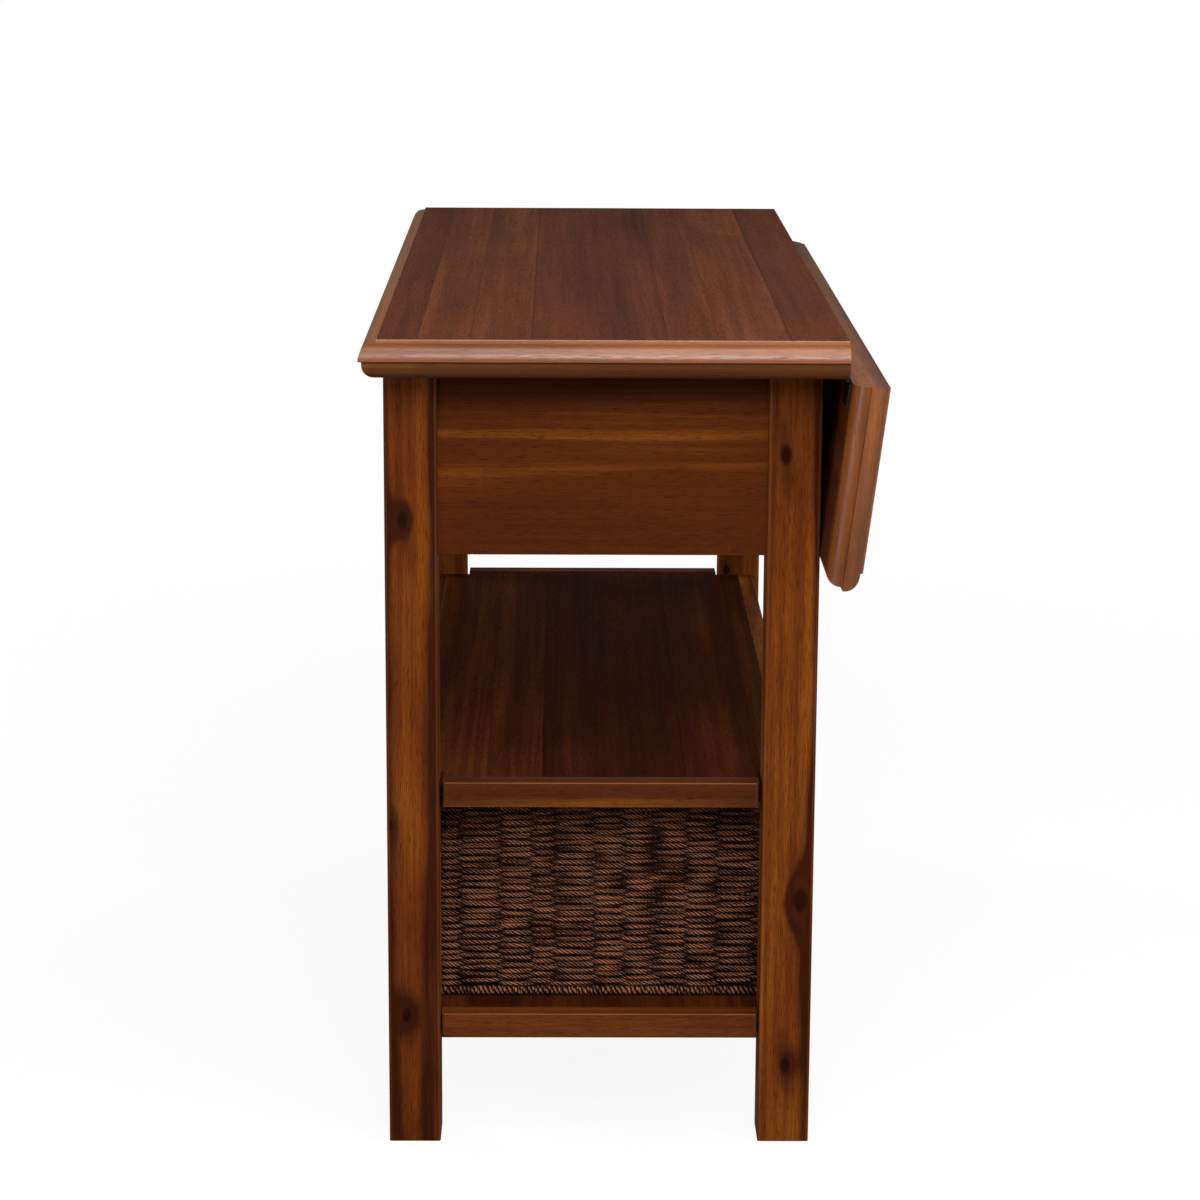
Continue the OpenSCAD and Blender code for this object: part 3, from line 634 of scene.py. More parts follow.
# The apron's band is a painted shadow under the top's overhang.
APRON = replace(
    WALNUT, grain=Grain.Y, middle=linear(92, 42, 9), bend=0.015, contrast=0.45, overhang_shade_band=(0.815, 0.86)
)
BARE = Stain(
    "planed_wood",
    grain=Grain.Y,
    dark=linear(150, 112, 72),
    middle=linear(188, 150, 104),
    light=linear(212, 178, 132),
    arris=linear(214, 182, 140),
    sheen=0.6,
    gloss=0.3,
    contrast=0.7,
)
KNOTS = {
    "leg_front_right": ((0.7085, -0.2365, 0.008), (0.367, -0.2524, 0.005), (0.149, -0.2354, 0.007)),
    "leg_back_right": ((0.7806, 0.1736, 0.008), (0.283, 0.1979, 0.011), (0.0907, 0.1848, 0.007)),
    "leg_front_left": ((0.52, -0.221, 0.007),),
    "leg_back_left": ((0.42, 0.166, 0.006), (0.71, 0.19, 0.007)),
}


@dataclass
class Board:
    """A square-edged board or post, eased along its arrises.

    Attributes:
        node: The node that it stands for.
        stain: Its finish.
        easing: Radius of the long arrises.
        ends: Radius of the end arrises.
        corner: Radius of the upright arrises at the outer end, if they differ.
    """

    node: str
    stain: Stain
    easing: float = 1.5 * MM
    ends: float = 0.6 * MM
    corner: float = 0.0

    def build(self, shop: Shop) -> None:
        """Builds the board out of a cube, with each edge bevelled to its own radius."""
        low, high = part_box(self.node)
        deselect()
        bpy.ops.mesh.primitive_cube_add(size=1.0, location=(low + high) / 2)
        piece = bpy.context.object
        piece.scale = high - low
        apply_place(piece)
        widest = max(self.easing, self.ends, self.corner)
        weights = piece.data.attributes.new("bevel_weight_edge", "FLOAT", "EDGE")
        middle = (low.x + high.x) / 2
        outer = 1.0 if middle > 0 else -1.0
        for edge in piece.data.edges:
            a, b = (piece.data.vertices[i].co for i in edge.vertices)
            run = b - a
            axis = max(range(3), key=lambda i: abs(run[i]))
            radius = self.easing if axis == self.stain.grain.value else self.ends
            if self.corner and axis == 2 and a.x * outer > middle * outer:
                radius = self.corner
            weights.data[edge.index].value = radius / widest
        apply_modifier(piece, "BEVEL", width=widest, segments=4, limit_method="WEIGHT")
        mark_arrises(piece)
        soften(piece)
        shop.stand_for(piece, self.node, f"{self.node}_board", self.stain)


@dataclass
class MouldedTop:
    """The fixed top and the leaf: slabs with the same moulding on three sides.

    Attributes:
        node: The node that it stands for.
        stain: Finish of its two faces.
        end: Finish of the mouldings at its two ends.
        low: Finish of the bead under them; on the top a darker copy of the end's stain, painted shade on the
            down-facing bead.
        length: Over the mouldings.
        depth: From the joint to the widest line.
        thick: From the bead's foot to the face.
        ovolo: Radius of the hollowed quarter above.
        bead: Radius of the quarter below.
        drop: From the face down to the ovolo.
        land: Width of the flat under the ovolo.
        step: How far the bead stands back.
        ease: Rounding of the moulding's small corners.
        segments: Facets of each quarter.
    """

    node: str
    stain: Stain
    end: Stain
    low: Stain
    length: float
    depth: float
    thick: float = 40 * MM
    ovolo: float = 17 * MM
    bead: float = 15 * MM
    drop: float = 3 * MM
    land: float = 1.5 * MM
    step: float = 3.5 * MM
    ease: float = 0.4 * MM
    segments: int = 12

    def section(self) -> list[tuple[float, float]]:
        """Returns the moulding from the underside up, as set-back from the widest line and height."""
        lip = self.thick - self.drop - self.ovolo
        land, crown = lip - self.land, self.thick - self.drop
        ease, wide, face = self.ease, 1.5 * self.ease, self.thick
        turns = [math.pi / 2 * i / self.segments for i in range(self.segments + 1)]
        return [
            *((self.step + self.bead * (1 - math.sin(a)), self.bead * (1 - math.cos(a))) for a in turns),
            (self.step, land - ease),
            (self.step - ease, land),
            (wide, land),
            (0.0, land + wide),
            *((self.ovolo * (1 - math.cos(a)), lip + self.ovolo * math.sin(a)) for a in turns),
            (self.ovolo + ease, crown + ease / 4),
            (self.ovolo + wide, face - 2 * ease),
            (self.ovolo + ease * 9 / 4, face - ease / 2),
            (self.ovolo + 4 * ease, face),
        ]

    def build(self, shop: Shop, place: Matrix) -> None:
        """Builds the slab with its joint side at y = 0 and its moulded side at +y.

        Args:
            shop: The shared finishes.
            place: Where the slab goes.
        """
        levels = [(z, self.length / 2 - back, self.depth - back) for back, z in self.section()]
        height, half, deep = levels[0]
        deselect()
        bpy.ops.mesh.primitive_plane_add(size=1.0, location=(0, deep / 2, height))
        piece = bpy.context.object
        piece.scale = (2 * half, deep, 1)
        apply_place(piece)
        grow(piece, levels)
        # The moulding's faces are marked for rubbed wear and a painted highlight, fullest along the top
        # arris.
        marks = piece.data.attributes.new("arris", "FLOAT", "FACE")
        marks.data.foreach_set("value", [self._wear_and_highlight(face) for face in piece.data.polygons])
        soften(piece, 28.0)
        kinds = [self._kind(face) for face in piece.data.polygons]
        piece.matrix_world = place
        apply_place(piece)
        shop.stand_for(piece, self.node, f"{self.node}_slab", self.stain)
        side = replace(MOULDING, name="stain_moulding_long", pith=(0.3, 0.86))
        for kind in (self.end, side, self.low):
            piece.data.materials.append(shop.finish(kind))
        piece.data.polygons.foreach_set("material_index", kinds)

    def _over_bead(self, face: bpy.types.MeshPolygon) -> bool:
        """Returns whether a face lies clear above the bead."""
        return face.center.z > self.bead + 4 * MM

    def _kind(self, face: bpy.types.MeshPolygon) -> int:
        """Returns which finish a face has: 0 the stain, 1 the end's, 2 the long side's, 3 the bead's."""
        across, along = abs(face.normal.x), abs(face.normal.y)
        if max(across, along) < 0.02:
            return 0
        if across <= along:
            return 2
        return 1 if self._over_bead(face) else 3

    def _wear_and_highlight(self, face: bpy.types.MeshPolygon) -> float:
        """Returns how far a face of the moulding is lightened for rubbed wear and a painted highlight, from 0
        to 1.
        """
        if abs(face.normal.z) > 0.999 or face.center.y < 1 * MM:
            return 0.0
        if face.center.z > self.thick - 3.5 * MM:
            return 1.0
        return 0.55 if self._over_bead(face) else 0.2


@dataclass
class TimberWork:
    """All boards of the top, the leg frame, the shelves and the drawer fronts."""

    shop: Shop
    leaf_gap: float = 1 * MM
    leaf_width: float = 217 * MM
    pin_drop: float = 3.5 * MM
    under: float = 874 * MM
    boards: list[Board] = field(default_factory=list)

    def top_and_leaf(self) -> None:
        """Builds the fixed top and the leaf, which hangs at rest."""
        joint = self.shop.joints["leaf_hinge"]
        low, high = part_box("tabletop")
        length, depth = high.x - low.x, high.y - low.y
        flip = Matrix.Translation((0, high.y, self.under)) @ Matrix.Rotation(math.pi, 4, "Z")
        end = replace(MOULDING, name="stain_moulding_end", grain=Grain.Y, pith=(0.6, 0.84), seed=0.4)
        # A darker copy of the end moulding's stain: painted shade on the top's down-facing bead.
        bead = replace(end, name="stain_bead", middle=linear(92, 48, 14), sheen=0.42, gloss=0.16)
        MouldedTop("tabletop", TOP, end, bead, length, depth).build(self.shop, flip)
        hang = Matrix.Rotation(-math.radians(joint["range_deg"][1]), 4, "X")
        level = Matrix.Translation((0, self.leaf_gap / 2, self.pin_drop))
        place = Matrix.Translation(Vector(joint["pos_m"])) @ hang @ level
        leaf = replace(TOP, name="stain_leaf", seed=0.7, seams=None, pith=(0.2, 0.7))
        end = replace(MOULDING, name="stain_moulding_leaf", grain=Grain.Z, pith=(0.6, 0.22), seed=0.9)
        MouldedTop("drop_leaf", leaf, end, end, length, self.leaf_width).build(self.shop, place)

    def leg_frame(self) -> None:
        """Plans the legs, aprons, rails and drawer fronts."""
        for i, side in enumerate(SIDES):
            sign = 2 * i - 1
            for j, end in enumerate(("front", "back")):
                node = f"leg_{end}_{side}"
                low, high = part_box(node)
                x, y, _ = (low + high) / 2
                stain = replace(
                    LEG,
                    name=f"stain_{node}",
                    seed=0.31 * i + 1.7 * j,
                    pith=(x - sign * 0.032, y - (0.008 if j else 0.004)),
                    heart=0.0665 if j else 0.0635,
                    taper=0.0 if j else 0.007,
                    bend=0.012,
                    knots=tuple(Knot(*knot) for knot in KNOTS[node]),
                )
                self.boards.append(Board(node, stain, easing=3 * MM, ends=1 * MM))
            apron = replace(APRON, name=f"stain_apron_{side}", seed=2.2 + i, pith=(sign * 0.8, 0.68))
            self.boards.append(Board(f"end_apron_{side}", apron))
            front = replace(WALNUT, name=f"stain_front_{side}", seed=4.0 + i, pith=(-0.3, 0.7), ring=110.0)
            self.boards.append(Board(f"{side}_drawer_front", front, easing=2 * MM, ends=1.5 * MM))
        rail = replace(WALNUT, name="stain_rail", seed=6.0, pith=(-0.25, 0.78))
        self.boards += [Board(node, rail) for node in ("back_apron", "front_top_rail", "front_bottom_rail")]
        self.boards.append(Board("centre_stile", replace(LEG, name="stain_stile", pith=(0.05, -0.2))))

    def shelves(self) -> None:
        """Plans the shelf rails and dresses the panels."""
        # The mid shelf's end rails take a darker colour than the low shelf's: painted shade under the top and
        # aprons.
        ends = ((linear(86, 43, 17), 0.5), (linear(114, 58, 24), 0.8))
        for k, (shelf, (middle, contrast)) in enumerate(zip(("mid_shelf", "low_shelf"), ends)):
            for i, side in enumerate(SIDES):
                rail = replace(
                    WALNUT,
                    name=f"stain_{shelf}_{side}",
                    grain=Grain.Y,
                    middle=middle,
                    seed=7.3 + i + 3 * k,
                    pith=(i - 0.5, 0.36 - 0.27 * k),
                    contrast=contrast,
                )
                self.boards.append(Board(f"{shelf}_rail_{side}", rail, 1 * MM, 0.5 * MM, corner=4 * MM))
            rail = replace(
                WALNUT, name=f"stain_{shelf}_long", middle=linear(80, 37, 13), seed=9.0 + k, pith=(0.1, 0.3)
            )
            for side in ("front", "back"):
                self.boards.append(Board(f"{shelf}_rail_{side}", rail, 1 * MM, 0.5 * MM))
            self.shop.keep(f"{shelf}_panel", replace(SHADED_SHELF, name=f"stain_{shelf}_panel", seed=1.0 + k))

    def inside(self) -> None:
        """Dresses the plain wood inside the drawer zone."""
        cross = replace(BARE, name="planed_wood_cross", grain=Grain.X)
        for node, slot in self.shop.slots.items():
            if slot == "inner_wood":
                self.shop.keep(node, cross if node.endswith("back") else BARE)

    def build(self) -> None:
        """Builds all timber."""
        self.top_and_leaf()
        self.leg_frame()
        self.shelves()
        for board in self.boards:
            board.build(self.shop)
        self.inside()


# ---- hardware


STEEL = Metal("dark_steel", (0.075, 0.07, 0.065), (0.035, 0.032, 0.03), 0.34)
BRONZE = Metal("dark_bronze", (0.11, 0.07, 0.045), (0.05, 0.034, 0.025), 0.36, 0.9)


@dataclass
class Hardware:
    """Hinges, braces, brackets, screws and knobs."""

    shop: Shop
    knob_d: float = 0.025
    knob_len: float = 0.023

    def polish(self, node: str) -> None:
        """Replaces a steel node by a copy with merged corners and smooth rounds."""
        piece = linked(node, self.shop.nodes[node].data.copy())
        with all_selected(piece):
            bpy.ops.mesh.remove_doubles(threshold=0.00001)
            bpy.ops.mesh.tris_convert_to_quads(face_threshold=0.01, shape_threshold=1.0)
        activate(piece)
        bpy.ops.object.shade_smooth_by_angle(angle=math.radians(30.0))
        self.shop.stand_for(piece, node, f"{node}_steel", STEEL)

    def profile(self) -> list[tuple[float, float]]:
        """Returns the knob's height and radius from its foot to its crown."""
        rim = self.knob_d / 5
        reach = self.knob_d / 2 - rim
        foot = [(0.3, 0.0), (0.3, 0.1), (0.28, 0.12), (0.2, 0.135), (0.18, 0.24), (0.185, 0.32), (0.21, 0.37)]
        outline = [(h * self.knob_d, r * self.knob_d) for r, h in foot]
        for turn in np.radians(np.arange(-90, 90, 20)):
            outline.append((self.knob_len * 0.62 + rim * math.sin(turn), reach + rim * math.cos(turn)))
        for radius in (reach * share for share in (0.92, 0.75, 0.55, 0.32, 0.1)):
            outline.append((self.knob_len - self.knob_d + math.sqrt(self.knob_d**2 - radius**2), radius))
        return [p for i, p in enumerate(outline) if i == 0 or p[0] >= outline[i - 1][0] - 1e-9]

    def knob(self, side: str) -> None:
        """Turns one knob out of a disc and sets it on its drawer front."""
        low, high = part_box(f"{side}_knob")
        levels = [(height, radius, radius) for height, radius in self.profile()]
        deselect()
        bpy.ops.mesh.primitive_circle_add(vertices=48, radius=levels[0][1], fill_type="NGON")
        piece = bpy.context.object
        grow(piece, levels)
        foot = Matrix.Translation(((low.x + high.x) / 2, high.y, (low.z + high.z) / 2))
        piece.matrix_world = foot @ Matrix.Rotation(math.pi / 2, 4, "X")
        apply_place(piece)
        bpy.ops.object.shade_smooth_by_angle(angle=math.radians(40.0))
        self.shop.stand_for(piece, f"{side}_knob", f"{side}_knob_turned", BRONZE)

    def build(self) -> None:
        """Builds all hardware."""
        for node, slot in self.shop.slots.items():
            if slot == "steel":
                self.polish(node)
        for side in SIDES:
            self.knob(side)


# ---- baskets


@dataclass
class Outline:
    """A rounded rectangle in plan, walked anticlockwise by length."""

    x0: float
    x1: float
    y0: float
    y1: float
    radius: float

    def length(self) -> float:
        """Returns the outline's length."""
        straight = 2 * (self.x1 - self.x0 + self.y1 - self.y0) - 8 * self.radius
        return straight + 2 * math.pi * self.radius

    def walk(self, s: Rows) -> tuple[Rows, Rows]:
        """Finds points of the outline.

        Args:
            s: Lengths from the left end of the front side.

        Returns:
            The points and the outward normals, as rows of x and y.
        """
        r = self.radius
        x0, x1, y0, y1 = self.x0 + r, self.x1 - r, self.y0 + r, self.y1 - r
        corners = np.array([(x1, y0), (x1, y1), (x0, y1), (x0, y0)])
        ways = np.array([(1, 0), (0, 1), (-1, 0), (0, -1)], float)
        outs = np.array([(0, -1), (1, 0), (0, 1), (-1, 0)], float)
        s = np.mod(s, self.length())
        points, normals = np.zeros((len(s), 2)), np.zeros((len(s), 2))
        start, arc = 0.0, r * math.pi / 2
        for side, corner, way, out in zip([x1 - x0, y1 - y0] * 2, corners, ways, outs):
            on = (s >= start) & (s < start + side)
            points[on] = corner + out * r + np.outer(s[on] - start - side, way)
            normals[on] = out
            start += side
            on = (s >= start) & (s < start + arc)
            turn = (s[on] - start) / r
            normals[on] = np.outer(np.cos(turn), out) + np.outer(np.sin(turn), way)
            points[on] = corner + r * normals[on]
            start += arc
        return points, normals

    def around(self, pace: float) -> tuple[Rows, Rows]:
        """Returns the points and normals of one whole turn, at even distances near a pace."""
        count = int(self.length() / pace)
        return self.walk(np.arange(count) * self.length() / count)


def raised(flat: Rows, z: Rows | float = 0.0) -> Rows:
    """Returns rows of x and y as rows of x, y and z."""
    return np.column_stack([flat, np.broadcast_to(z, len(flat))])


@dataclass
class Rope:
    """A bundle of swept strands that becomes one mesh with a map along and round them."""

    verts: list[Rows] = field(default_factory=list)
    faces: list[Rows] = field(default_factory=list)
    chart: list[Rows] = field(default_factory=list)
    relief: list[Rows] = field(default_factory=list)
    count: int = 0

    def sweep(
        self,
        line: Rows,
        out: Rows,
        up: Rows,
        size: Rows,
        sides: int,
        closed: bool,
        relief: Rows | float = 0.6,
        shift: float = 0.0,
    ) -> None:
        """Adds one strand.

        Args:
            line: Its centre line, N x 3.
            out: Unit vectors across it, N x 3 or one for all.
            up: Unit vectors across it and square to out, N x 3 or one for all.
            size: Half sizes along out and up, N x 2 or one pair for all.
            sides: Corners of its section.
            closed: Whether it joins up with its start.
            relief: How far it stands out at each point, from 0 to 1.
            shift: A number that sets its map apart from other strands'.
        """
        n = len(line)
        gaps = np.linalg.norm(np.diff(line, axis=0, append=line[:1]), axis=1)
        run = np.concatenate([[0.0], np.cumsum(gaps)]) + shift
        corner = np.arange(sides)
        angle = corner * 2 * math.pi / sides
        a, b = np.cos(angle) * size[:, :1], np.sin(angle) * size[:, 1:]
        ring = line[:, None, :] + a[..., None] * out[:, None, :] + b[..., None] * up[:, None, :]
        i, j = np.meshgrid(np.arange(n if closed else n - 1), corner, indexing="ij")
        i2, j2 = (i + 1) % n, (j + 1) % sides
        quads = np.stack([i * sides + j, i2 * sides + j, i2 * sides + j2, i * sides + j2], -1).reshape(-1, 4)
        u0, u1, v0, v1 = run[i], run[i + 1], j / sides, (j + 1) / sides
        chart = [np.stack(pair, -1) for pair in ((u0, v0), (u1, v0), (u1, v1), (u0, v1))]
        relief = np.repeat(np.broadcast_to(relief, n), sides)
        self._add(ring.reshape(-1, 3), quads, np.stack(chart, 2), relief)
        base = self.count - n * sides
        for row in () if closed else (0, n - 1):
            tip = base + row * sides - self.count
            middle = np.zeros(sides, int)
            fan = np.stack([tip + (corner + 1) % sides, tip + corner, middle, middle], -1)
            self._add(line[row][None, :], fan, np.tile([[run[row], 0.0]], (4 * sides, 1)), np.array([0.5]))

    def _add(self, verts: Rows, faces: Rows, chart: Rows, relief: Rows) -> None:
        """Adds corners and the faces between them, numbered from the first of these corners."""
        self.verts.append(verts)
        self.faces.append(faces + self.count)
        self.chart.append(chart.reshape(-1, 2))
        self.relief.append(relief)
        self.count += len(verts)

    def twist(self, line: Rows, out: Rows, up: Rows, half: float, lay: float, shift: float) -> None:
        """Adds a closed rope of three plies.

        Args:
            line: Its centre line, N x 3, at even distances.
            out: Unit vectors across it, N x 3.
            up: The unit vector across it and square to out, 1 x 3.
            half: Half its thickness.
            lay: Length of one turn of a ply.
            shift: A number that sets its map apart from other ropes'.
        """
        n = len(line)
        laps = round(n * np.linalg.norm(line[1] - line[0]) / lay)
        for ply in range(3):
            turn = (np.arange(n) / n * laps + ply / 3) * 2 * math.pi
            radial = np.cos(turn)[:, None] * out + np.sin(turn)[:, None] * up
            centre = line + radial * half * 0.5
            way = np.roll(centre, -1, axis=0) - np.roll(centre, 1, axis=0)
            beside = np.cross(way, radial)
            beside /= np.linalg.norm(beside, axis=1)[:, None]
            size = np.array([[half * 0.5, half * 0.62]])
            self.sweep(centre, radial, beside, size, 7, True, np.cos(turn) * 0.4 + 0.6, shift + ply * 2.7)

    def mesh(self, name: str) -> Piece:
        """Returns the bundle as one object at the origin, its faces outwards."""
        faces, chart = np.concatenate(self.faces), np.concatenate(self.chart)
        data = bpy.data.meshes.new(name)
        polygons = [tuple(f[:3]) if f[2] == f[3] else tuple(f) for f in faces.tolist()]
        data.from_pydata(np.concatenate(self.verts).tolist(), [], polygons)
        keep = np.ones(len(chart), bool)
        keep[3::4] = faces[:, 2] != faces[:, 3]
        layer = data.uv_layers.new(name="strand")
        layer.data.foreach_set("uv", chart[keep].astype(np.float32).ravel())
        relief = data.attributes.new("relief", "FLOAT", "POINT")
        relief.data.foreach_set("value", np.concatenate(self.relief).astype(np.float32))
        data.validate()
        piece = linked(name, data)
        with all_selected(piece):
            bpy.ops.mesh.normals_make_consistent(inside=False)
        bpy.ops.object.shade_smooth()
        return piece


WEAVE = Seagrass("seagrass_weave")
WRAP = Seagrass("seagrass_wrap", body=linear(62, 31, 15), plies=2, bite=0.004)
FRONT = np.array([[0.0, -1.0, 0.0]])
UP = np.array([[0.0, 0.0, 1.0]])


@dataclass
class Basket:
    """A basket of twisted seagrass woven over upright stakes.

    Attributes:
        side: Which of the two baskets, "left" or "right".
        corner: Radius of its upright corners.
        inset: From its outside to the middle of its wall.
        pitch: Height of one strand in the weave.
        strand: Half thickness of a strand.
        swing: How far a strand passes in front of and behind the stakes.
        stake: Half thickness of a stake.
        stake_gap: Distance between stakes.
        rim: Half thickness of the rim rope.
        foot: Half thickness of the foot rope.
        lay: Length of one turn of a ply in these ropes.
        pace: Length of the facets along a rope.
        hand: Width and height of the hand hole, and its middle's distance from the top.
    """

    shop: Shop
    side: str
    corner: float = 26 * MM
    inset: float = 6.5 * MM
    pitch: float = 3.8 * MM
    strand: float = 2.9 * MM
    swing: float = 2.2 * MM
    stake: float = 1.6 * MM
    stake_gap: float = 35.5 * MM
    rim: float = 6.2 * MM
    foot: float = 5.6 * MM
    lay: float = 13.5 * MM
    pace: float = 1.2 * MM
    hand: tuple[float, float, float] = (110 * MM, 32 * MM, 55 * MM)

    def __post_init__(self) -> None:
        """Takes the basket's size from its node."""
        self.low, self.high = low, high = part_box(f"{self.side}_basket")
        inset = self.inset
        self.wall = Outline(low.x + inset, high.x - inset, low.y + inset, high.y - inset, self.corner - inset)
        self.total = self.wall.length()
        self.stakes = 2 * round(self.total / (2 * self.stake_gap))
        self.mid_x = (low.x + high.x) / 2
        self.hole_z = high.z - self.hand[2]
        self.seed = 3.0 if self.side == "left" else 11.0

    def _uneven(self, s: Rows) -> Rows:
        """Returns how far the stakes stand from even spacing at lengths s of the wall."""
        turn = 2 * math.pi * s / self.total
        return 0.0045 * np.sin(19 * turn + self.seed) + 0.0035 * np.sin(34 * turn + 2 * self.seed)

    def _hole(self, z: float) -> float:
        """Returns half the width of the gap that a weaver leaves at a height for the hand hole, or 0."""
        half = self.hand[1] / 2 + 2 * MM
        off = abs(z - self.hole_z)
        if off >= half:
            return 0.0
        return (self.hand[0] - self.hand[1]) / 2 + math.sqrt(half * half - off * off)

    def _weaver(self, s: Rows, row: int, z: float) -> tuple[Rows, ...]:
        """Finds a weaver's centre line at lengths s, its outward vectors, half sizes and relief."""
        points, normals = self.wall.walk(s)
        even = s + self._uneven(s) + 0.0025 * np.sin(s * 23.0 + row * 0.7)
        phase = np.cos(math.pi * (self.stakes * even / self.total + row))
        lean = phase / np.sqrt(phase**2 + 0.12) * math.sqrt(1.12)
        wave = np.sin(s * 31.0 + row * 2.3 + self.seed) * 0.0005 + np.sin(s * 74.0 + row * 5.1) * 0.0003
        line = raised(points + normals * (self.swing * lean)[:, None], z + wave)
        fat = 1 + 0.07 * np.sin(s * 47.0 + row * 1.9 + self.seed) + 0.06 * np.sin(s * 130.0 + row * 4.1)
        size = np.column_stack([self.strand * fat, self.strand * fat * (0.8 + 0.24 * np.abs(lean))])
        return line, raised(normals), size, np.clip(lean * 0.5 + 0.5, 0.0, 1.0)

    def _finish(self, bundle: Rope, part: str, kind: Seagrass) -> None:
        """Makes a bundle one piece of the basket."""
        name = f"{self.side}_basket_{part}"
        self.shop.stand_for(bundle.mesh(name), f"{self.side}_basket", name, kind)

    def weave(self) -> None:
        """Builds the woven wall in two halves, so that neither is too large a mesh."""
        start, end = self.low.z + 2 * self.foot + 0.5 * MM, self.high.z - 2 * self.rim
        rows = int((end - start) / self.pitch) + 1
        steps = self.stakes * 8
        bundles = {"low": Rope(), "high": Rope()}
        for row in range(rows):
            z = start + (row + 0.5) * (end - start) / rows
            half = self._hole(z)
            run = self.total - 2 * half
            count = int(steps * run / self.total)
            first = self.mid_x - self.wall.x0 - self.wall.radius + half if half else 0.0
            s = first + np.arange(count + 1 if half else count) * run / count
            line, out, size, relief = self._weaver(s, row, z)
            bundle = bundles["low" if row < rows / 2 else "high"]
            bundle.sweep(line, out, UP, size, 8, not half, relief, row * 3.7)
        for name, bundle in bundles.items():
            self._finish(bundle, f"weave_{name}", WEAVE)

    def bindings(self) -> None:
        """Builds the rim rope, the foot rope and the binding of the hand hole."""
        bundle = Rope()
        for z, half in ((self.high.z - self.rim, self.rim), (self.low.z + self.foot, self.foot)):
            points, normals = self.wall.around(self.pace)
            bundle.twist(raised(points, z), raised(normals), UP, half * 0.98, self.lay, z * 50)
        half, reach = self.hand[1] / 2 + 3 * MM, self.hand[0] / 2 + 3 * MM
        sides = (self.mid_x - reach, self.mid_x + reach, self.hole_z - half, self.hole_z + half)
        points, normals = Outline(*sides, half).around(self.pace)
        line, out = (raised(flat, y)[:, [0, 2, 1]] for flat, y in ((points, self.wall.y0), (normals, 0.0)))
        bundle.twist(line, out, FRONT, 5.2 * MM, 12.5 * MM, 9.0)
        self._finish(bundle, "bindings", WRAP)

    def floor(self) -> None:
        """Builds the woven floor and the upright stakes of the wall."""
        bundle = Rope()
        self._floor_strands(bundle)
        self._stakes(bundle)
        self._finish(bundle, "floor", WEAVE)

    def _floor_strands(self, bundle: Rope, gap: float = 6.2 * MM, inner: float = 4 * MM) -> None:
        """Adds the strands of the floor, which rise and fall across its stakes.

        Args:
            bundle: What they are added to.
            gap: Distance between strands.
            inner: From the middle of the wall to their ends.
        """
        x0, x1 = self.wall.x0 + inner, self.wall.x1 - inner
        y0, y1 = self.wall.y0 + inner, self.wall.y1 - inner
        count = int((y1 - y0) / gap)
        for i in range(count + 1):
            y = y0 + (y1 - y0) * i / count
            tuck = max(0.0, self.wall.radius - min(y - y0, y1 - y)) * 0.55
            x = np.linspace(x0 + tuck, x1 - tuck, 97)
            lift = np.cos((x - self.mid_x) * math.pi / 0.04 + i * math.pi) * 0.0011
            line = np.column_stack([x, np.full(97, y), self.low.z + 0.0044 + lift])
            size = np.array([[0.0031, 0.0024]])
            bundle.sweep(line, FRONT, UP, size, 6, False, lift / 0.0022 + 0.5, i * 1.3)

    def _stakes(self, bundle: Rope) -> None:
        """Adds the upright stakes, cut where the hand hole is."""
        foot, rim = self.low.z + self.foot, self.high.z - self.rim
        gap = self.hand[1] / 2 + 2 * MM
        for i in range(self.stakes):
            stand = np.array([i * self.total / self.stakes])
            (point,), (normal,) = self.wall.walk(stand - self._uneven(stand))
            spans = [(foot, rim)]
            if point[1] < self.wall.y0 + 1e-6 and abs(point[0] - self.mid_x) < self.hand[0] / 2 + 4 * MM:
                spans = [(foot, self.hole_z - gap), (self.hole_z + gap, rim)]
            out, up = np.array([[*normal, 0.0]]), np.array([[-normal[1], normal[0], 0.0]])
            for bottom, top in spans:
                line = raised(np.tile(point, (5, 1)), np.linspace(bottom, top, 5))
                bundle.sweep(line, out, up, np.full((1, 2), self.stake), 6, False, shift=i * 0.9)

    def build(self) -> None:
        """Builds the whole basket."""
        self.weave()
        self.bindings()
        self.floor()


# ---- studio


LAMPS = (
    ("overhead", (1.25, 0.3, 2.5), (0.5, 0.0, 0.6), 1.4, 26.0),
    ("front", (2.7, 0.1, 2.0), (0.4, 0.0, 0.6), 1.0, 36.0),
    ("front_left", (3.0, -1.7, 1.15), (0.4, 0.0, 0.6), 1.5, 20.0),
    ("front_right", (2.4, 2.2, 1.15), (0.4, 0.0, 0.6), 1.5, 20.0),
    ("leaf_side", (0.6, 3.0, 1.7), (0.2, 0.2, 0.6), 1.4, 22.0),
    ("drawer_side", (-1.6, -2.9, 2.0), (-0.1, 0.0, 0.6), 1.4, 50.0),
    ("far_end", (-2.6, 2.3, 2.2), (-0.4, 0.0, 0.6), 1.2, 30.0),
)


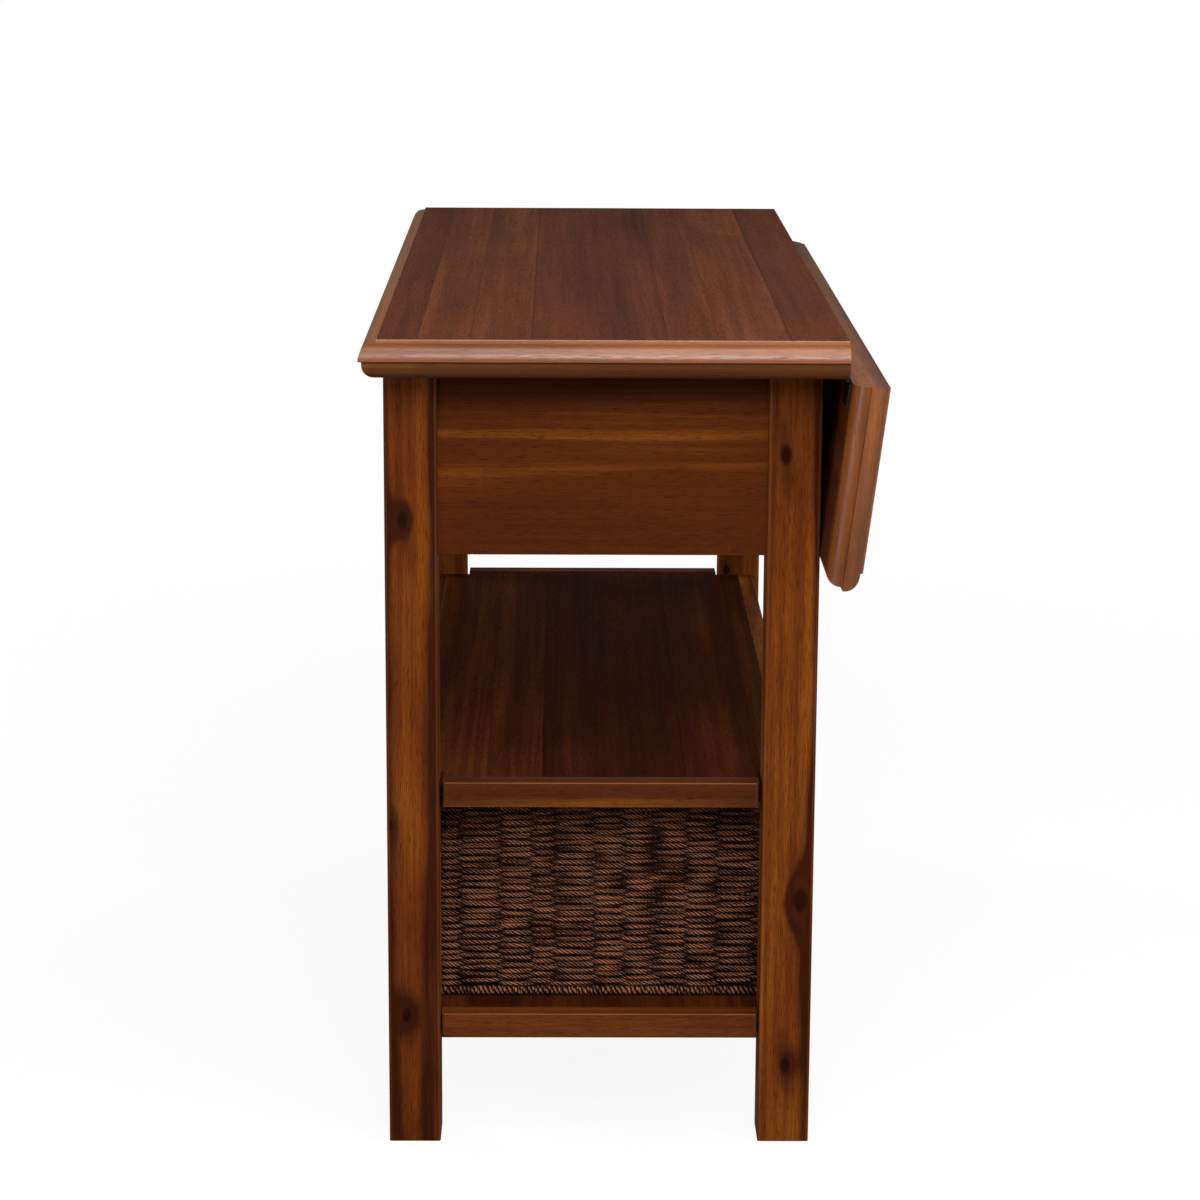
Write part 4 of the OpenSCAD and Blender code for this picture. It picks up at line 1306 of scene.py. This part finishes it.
@dataclass
class Studio:
    """Camera, lamps, world and floor."""

    place: tuple[float, float, float] = (4.04329, -0.06546, 1.41636)
    yaw: float = 0.0119
    pitch: float = 0.2247
    roll: float = 0.0055
    lens: float = 99.372

    def camera(self) -> None:
        """Adds the camera at the photograph's angle."""
        cy, sy, cp, sp = math.cos(self.yaw), math.sin(self.yaw), math.cos(self.pitch), math.sin(self.pitch)
        forward = Vector((-cy * cp, sy * cp, -sp))
        right = Vector((sy, cy, 0))
        up = right.cross(forward)
        right, up = (
            right * math.cos(self.roll) + up * math.sin(self.roll),
            up * math.cos(self.roll) - right * math.sin(self.roll),
        )
        data = bpy.data.cameras.new("camera")
        data.lens, data.sensor_width = self.lens, 36.0
        data.clip_start, data.clip_end = 0.05, 200.0
        camera = linked("camera", data)
        turn = Matrix((right, up, -forward)).transposed().to_4x4()
        camera.matrix_world = Matrix.Translation(self.place) @ turn
        bpy.context.scene.camera = camera

    def lamp(self, name: str, place: tuple, aim: tuple, size: float, power: float) -> None:
        """Adds a square soft box.

        Args:
            name: The lamp's name.
            place: Where it stands.
            aim: What it points at.
            size: Its side.
            power: Its power in watts.
        """
        data = bpy.data.lights.new(name, "AREA")
        data.shape, data.size, data.energy = "SQUARE", size, power
        turn = (Vector(aim) - Vector(place)).to_track_quat("-Z", "Y")
        linked(name, data).matrix_world = Matrix.Translation(place) @ turn.to_matrix().to_4x4()

    def world(self, ambient: float = 0.14) -> None:
        """Sets an even white world: full white to the eye, dimmer as light."""
        world = bpy.data.worlds.new("studio")
        bpy.context.scene.world = world
        world.use_nodes = True
        sky = Nodes(world.node_tree, "ShaderNodeOutputWorld")
        seen = sky.node("ShaderNodeLightPath", out="Is Camera Ray")
        strength = sky.node("ShaderNodeMapRange", values={"Value": seen, "To Min": ambient, "To Max": 1.0})
        sky.close(sky.node("ShaderNodeBackground", values={"Color": (1.0, 1.0, 1.0), "Strength": strength}))

    def floor(self) -> None:
        """Lays a wide pale floor that keeps the island's soft shadow."""
        deselect()
        bpy.ops.mesh.primitive_plane_add(size=160.0, location=(0, 0, -0.0002))
        floor = bpy.context.object
        floor.name = "studio_floor"
        s = Shader("pale_floor")
        x, y, _ = s.object_axes()
        far = x.reach(y).step(1.0, 3.5)
        pale = s.node("ShaderNodeBsdfDiffuse", values={"Color": (1.0, 1.0, 1.0)})
        glow = s.node("ShaderNodeEmission", values={"Color": (1.0, 1.0, 1.0), "Strength": 1.0})
        shown = s.node("ShaderNodeMixShader", values={0: far * 0.1 + 0.9, 1: pale, 2: glow})
        lit = s.node("ShaderNodeBsdfDiffuse", values={"Color": (0.25, 0.25, 0.25)})
        seen = s.node("ShaderNodeLightPath", out="Is Camera Ray")
        s.close(s.node("ShaderNodeMixShader", values={0: seen, 1: lit, 2: shown}))
        floor.data.materials.append(s.material)

    def build(self) -> None:
        """Sets up the whole studio."""
        bpy.context.scene.view_settings.view_transform = "Standard"
        self.camera()
        self.world()
        for lamp in LAMPS:
            self.lamp(*lamp)
        self.floor()


def main(frame: dict) -> None:
    """Builds the island's looks in order.
    """
    logging.basicConfig(level=logging.INFO, format="%(name)s: %(message)s")
    shop = Shop(frame)
    Studio().build()
    TimberWork(shop).build()
    Hardware(shop).build()
    for side in SIDES:
        Basket(shop, side).build()


if __name__ == "__main__":
    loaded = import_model()
    main(loaded)
